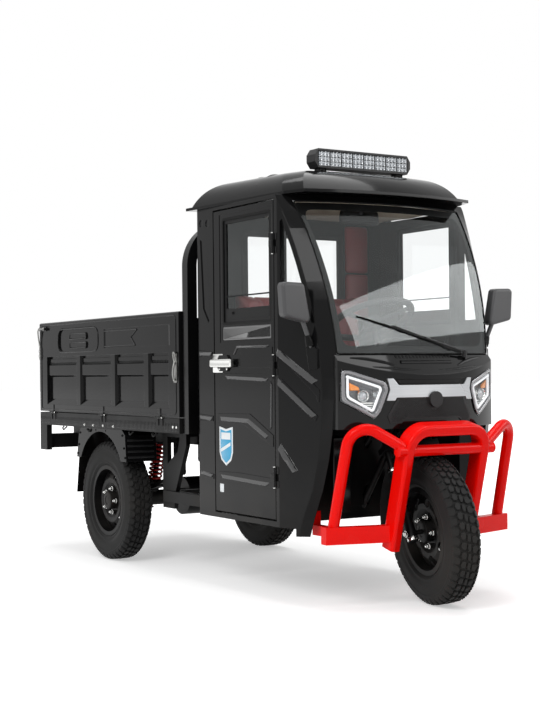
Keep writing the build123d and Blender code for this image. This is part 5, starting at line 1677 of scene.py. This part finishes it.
@dataclass
class Padding:
    """A cushion made as cloth blown up inside its seams.

    Args:
        name: Its name.
        node: The CAD node that it stands for.
        corners: Its section in x and z.
        half: Half its width.
        seams: Where its sewn channels run, as y.
        swell: How far a point may move, in metres.
        shrink: How much smaller than the CAD node it starts, in metres.
        frames: How many frames the cloth is blown up for.
        pressure: The pressure inside it.
        voxel: The size of its mesh, in metres.
        groove: How deep and how wide a sewn channel is, in metres.
    """

    name: str
    node: str
    corners: Outline
    half: float
    seams: Sequence[float] = (-0.23, -0.115, 0, 0.115, 0.23)
    swell: float = 0.022
    shrink: float = 0.010
    frames: int = 20
    pressure: float = 4.0
    voxel: float = 0.0065
    groove: Pair = (0.009, 0.011)

    def build(self) -> None:
        """Builds the cushion, blows it up and sews its channels."""
        section = [spot(x, 0, z) for x, z in inset(self.corners, self.shrink * 1000)]
        reach = Side.LEFT.out * (self.half / 1000 - self.shrink)
        mould = Mould(self.name).prism([p - reach for p in section], reach * 2).soften(0.022, 4)
        piece = mould.cast(SEAT_RED, "chassis", (self.node,), "seat_trim", 60.0)
        remesh = piece.modifiers.new("even", "REMESH")
        remesh.mode, remesh.voxel_size = "VOXEL", self.voxel
        self.apply(piece)
        start = [v.co.copy() for v in piece.data.vertices]
        cloth = piece.modifiers.new("cloth", "CLOTH")
        cloth.settings.use_pressure = True
        cloth.settings.uniform_pressure_force = self.pressure
        cloth.settings.effector_weights.gravity = 0.0
        cloth.settings.quality = 5
        cloth.point_cache.frame_start, cloth.point_cache.frame_end = 1, self.frames
        for step in range(1, self.frames + 1):
            bpy.context.scene.frame_set(step)
        self.apply(piece)
        bpy.context.scene.frame_set(1)
        self.sew(piece, start)
        for face in piece.data.polygons:
            face.use_smooth = True
        LOG.info("%s is padded, %d corners", self.name, len(piece.data.vertices))

    @staticmethod
    def apply(piece: bpy.types.Object) -> None:
        """Turns the piece's modifiers into plain mesh."""
        graph = bpy.context.evaluated_depsgraph_get()
        graph.update()
        made = bpy.data.meshes.new_from_object(piece.evaluated_get(graph))
        old = piece.data
        piece.modifiers.clear()
        piece.data = made
        bpy.data.meshes.remove(old)

    def sew(self, piece: bpy.types.Object, start: Sequence[Vector]) -> None:
        """Caps how far each point moved and pulls the sewn channels in."""
        deep, wide = self.groove
        middle = Vector([(min(v[i] for v in start) + max(v[i] for v in start)) / 2 for i in range(3)])
        for vertex, rest in zip(piece.data.vertices, start):
            move = vertex.co - rest
            if move.length > self.swell:
                move *= self.swell / move.length
            vertex.co = rest + move
            gap = min(abs(vertex.co.y - seam) for seam in self.seams)
            inward = middle - vertex.co
            inward.y = 0.0
            vertex.co += inward.normalized() * deep * max(0, 1 - gap / wide) ** 2


@dataclass
class Studio:
    """The floor, the white surround, the lamps and the camera.

    Args:
        eye: Where the camera is, in metres.
        heading: The way it looks, in degrees from +Y towards -X.
        dip: How far it looks down, in degrees.
        roll: How far it is rolled, in degrees.
        lens: Its focal length in millimetres.
        shift: How far the view is shifted, as shares of the long side.
        reach: Half the floor's size, in metres.
    """

    eye: Triple = (5.2481, -3.273, 0.886)
    heading: float = 57.993
    dip: float = 0.049
    roll: float = -0.563
    lens: float = 68.765
    shift: Pair = (0.0007, 0.0178)
    reach: float = 60.0

    def camera(self) -> None:
        """Makes the camera and points it."""
        turn, down, tilt = (math.radians(a) for a in (self.heading, self.dip, self.roll))
        ahead = Vector((-math.sin(turn) * math.cos(down), math.cos(turn) * math.cos(down), -math.sin(down)))
        side = Vector((math.cos(turn), math.sin(turn), 0.0))
        top = side.cross(ahead)
        data = bpy.data.cameras.new("camera")
        data.lens, data.sensor_width = self.lens, 36.0
        data.shift_x, data.shift_y = self.shift
        data.clip_end = 200.0
        camera = bpy.data.objects.new("camera", data)
        axes = (spoke(side, top, tilt), spoke(top, -side, tilt), -ahead)
        camera.matrix_world = Matrix(axes).transposed().to_4x4()
        camera.location = self.eye
        bpy.context.scene.collection.objects.link(camera)
        bpy.context.scene.camera = camera

    def world(self) -> None:
        """Makes the white surround."""
        world = bpy.data.worlds.new("surround")
        world.use_nodes = True
        bpy.context.scene.world = world
        graph = Graph(world.node_tree)
        values = {"Color": (1, 1, 1, 1), "Strength": graph.unlit() * 0.45 + 0.55}
        sky = graph.node("ShaderNodeBackground", values=values)
        graph.node("ShaderNodeOutputWorld", values={"Surface": sky})

    def floor(self) -> None:
        """Makes the pale floor, which keeps the vehicle's shadow."""
        mesh = bpy.data.meshes.new("studio_floor")
        corners = box(-self.reach, self.reach, -self.reach, self.reach)
        mesh.from_pydata([(*corner, 0) for corner in corners], [], [(0, 1, 2, 3)])
        floor = bpy.data.objects.new("studio_floor", mesh)
        bpy.context.scene.collection.objects.link(floor)
        mesh.materials.append(GROUND.material())

    def lamp(self, name: str, place: Triple, target: Triple, size: Pair, power: float, lights: bool = True) -> None:
        """Adds a soft box.

        Args:
            name: Its name.
            place: Where it hangs.
            target: What it points at.
            size: Its width and height.
            power: Its power in watts.
            lights: Whether it lights matt surfaces too, or only shows in glossy ones.
        """
        data = bpy.data.lights.new(name, "AREA")
        data.shape, data.size, data.size_y, data.energy = "RECTANGLE", *size, power
        lamp = bpy.data.objects.new(name, data)
        lamp.location = place
        lamp.rotation_euler = (Vector(target) - Vector(place)).to_track_quat("-Z", "Y").to_euler()
        lamp.visible_camera = False
        lamp.visible_diffuse = lights
        bpy.context.scene.collection.objects.link(lamp)

    def build(self) -> None:
        """Makes the whole studio."""
        self.camera()
        self.world()
        self.floor()
        self.lamp("key", (3.2, -4.6, 4.2), (0.2, 0.0, 0.8), (2.6, 2.6), 170)
        self.lamp("top", (0.0, 0.5, 5.0), (0.0, 0.0, 0.6), (4.5, 3.0), 150)
        self.lamp("card", (5.0, 4.0, 3.3), (1.07, 0.0, 1.2), (9.0, 2.4), 330, False)
        bpy.context.scene.view_settings.view_transform = "Standard"
        LOG.info("studio is set")


def main() -> None:
    """Builds every sub-assembly in order."""
    logging.basicConfig(level=logging.INFO, format="%(name)s: %(message)s")
    Studio().build()
    dress_nodes()
    for kind in (Tyre, WheelDress):
        for wheel in WHEELS:
            kind(wheel).build()
    for kind in (FrontBrake, LampBar, Nose, Suspension, Cabin, Fittings):
        kind().build()
    for side in Side:
        for kind in (Headlamp, Door, Pressings, SideGate, Sill, DoorMirror):
            kind(side).build()
    Padding("seat_pad", "seat_cushion", box(938, 1298, 602, 688), 343).build()
    Padding("back_pad", "seat_back", ((938, 693), (1044, 693), (1000, 1236), (938, 1236)), 338).build()


if __name__ == "__main__":
    main()
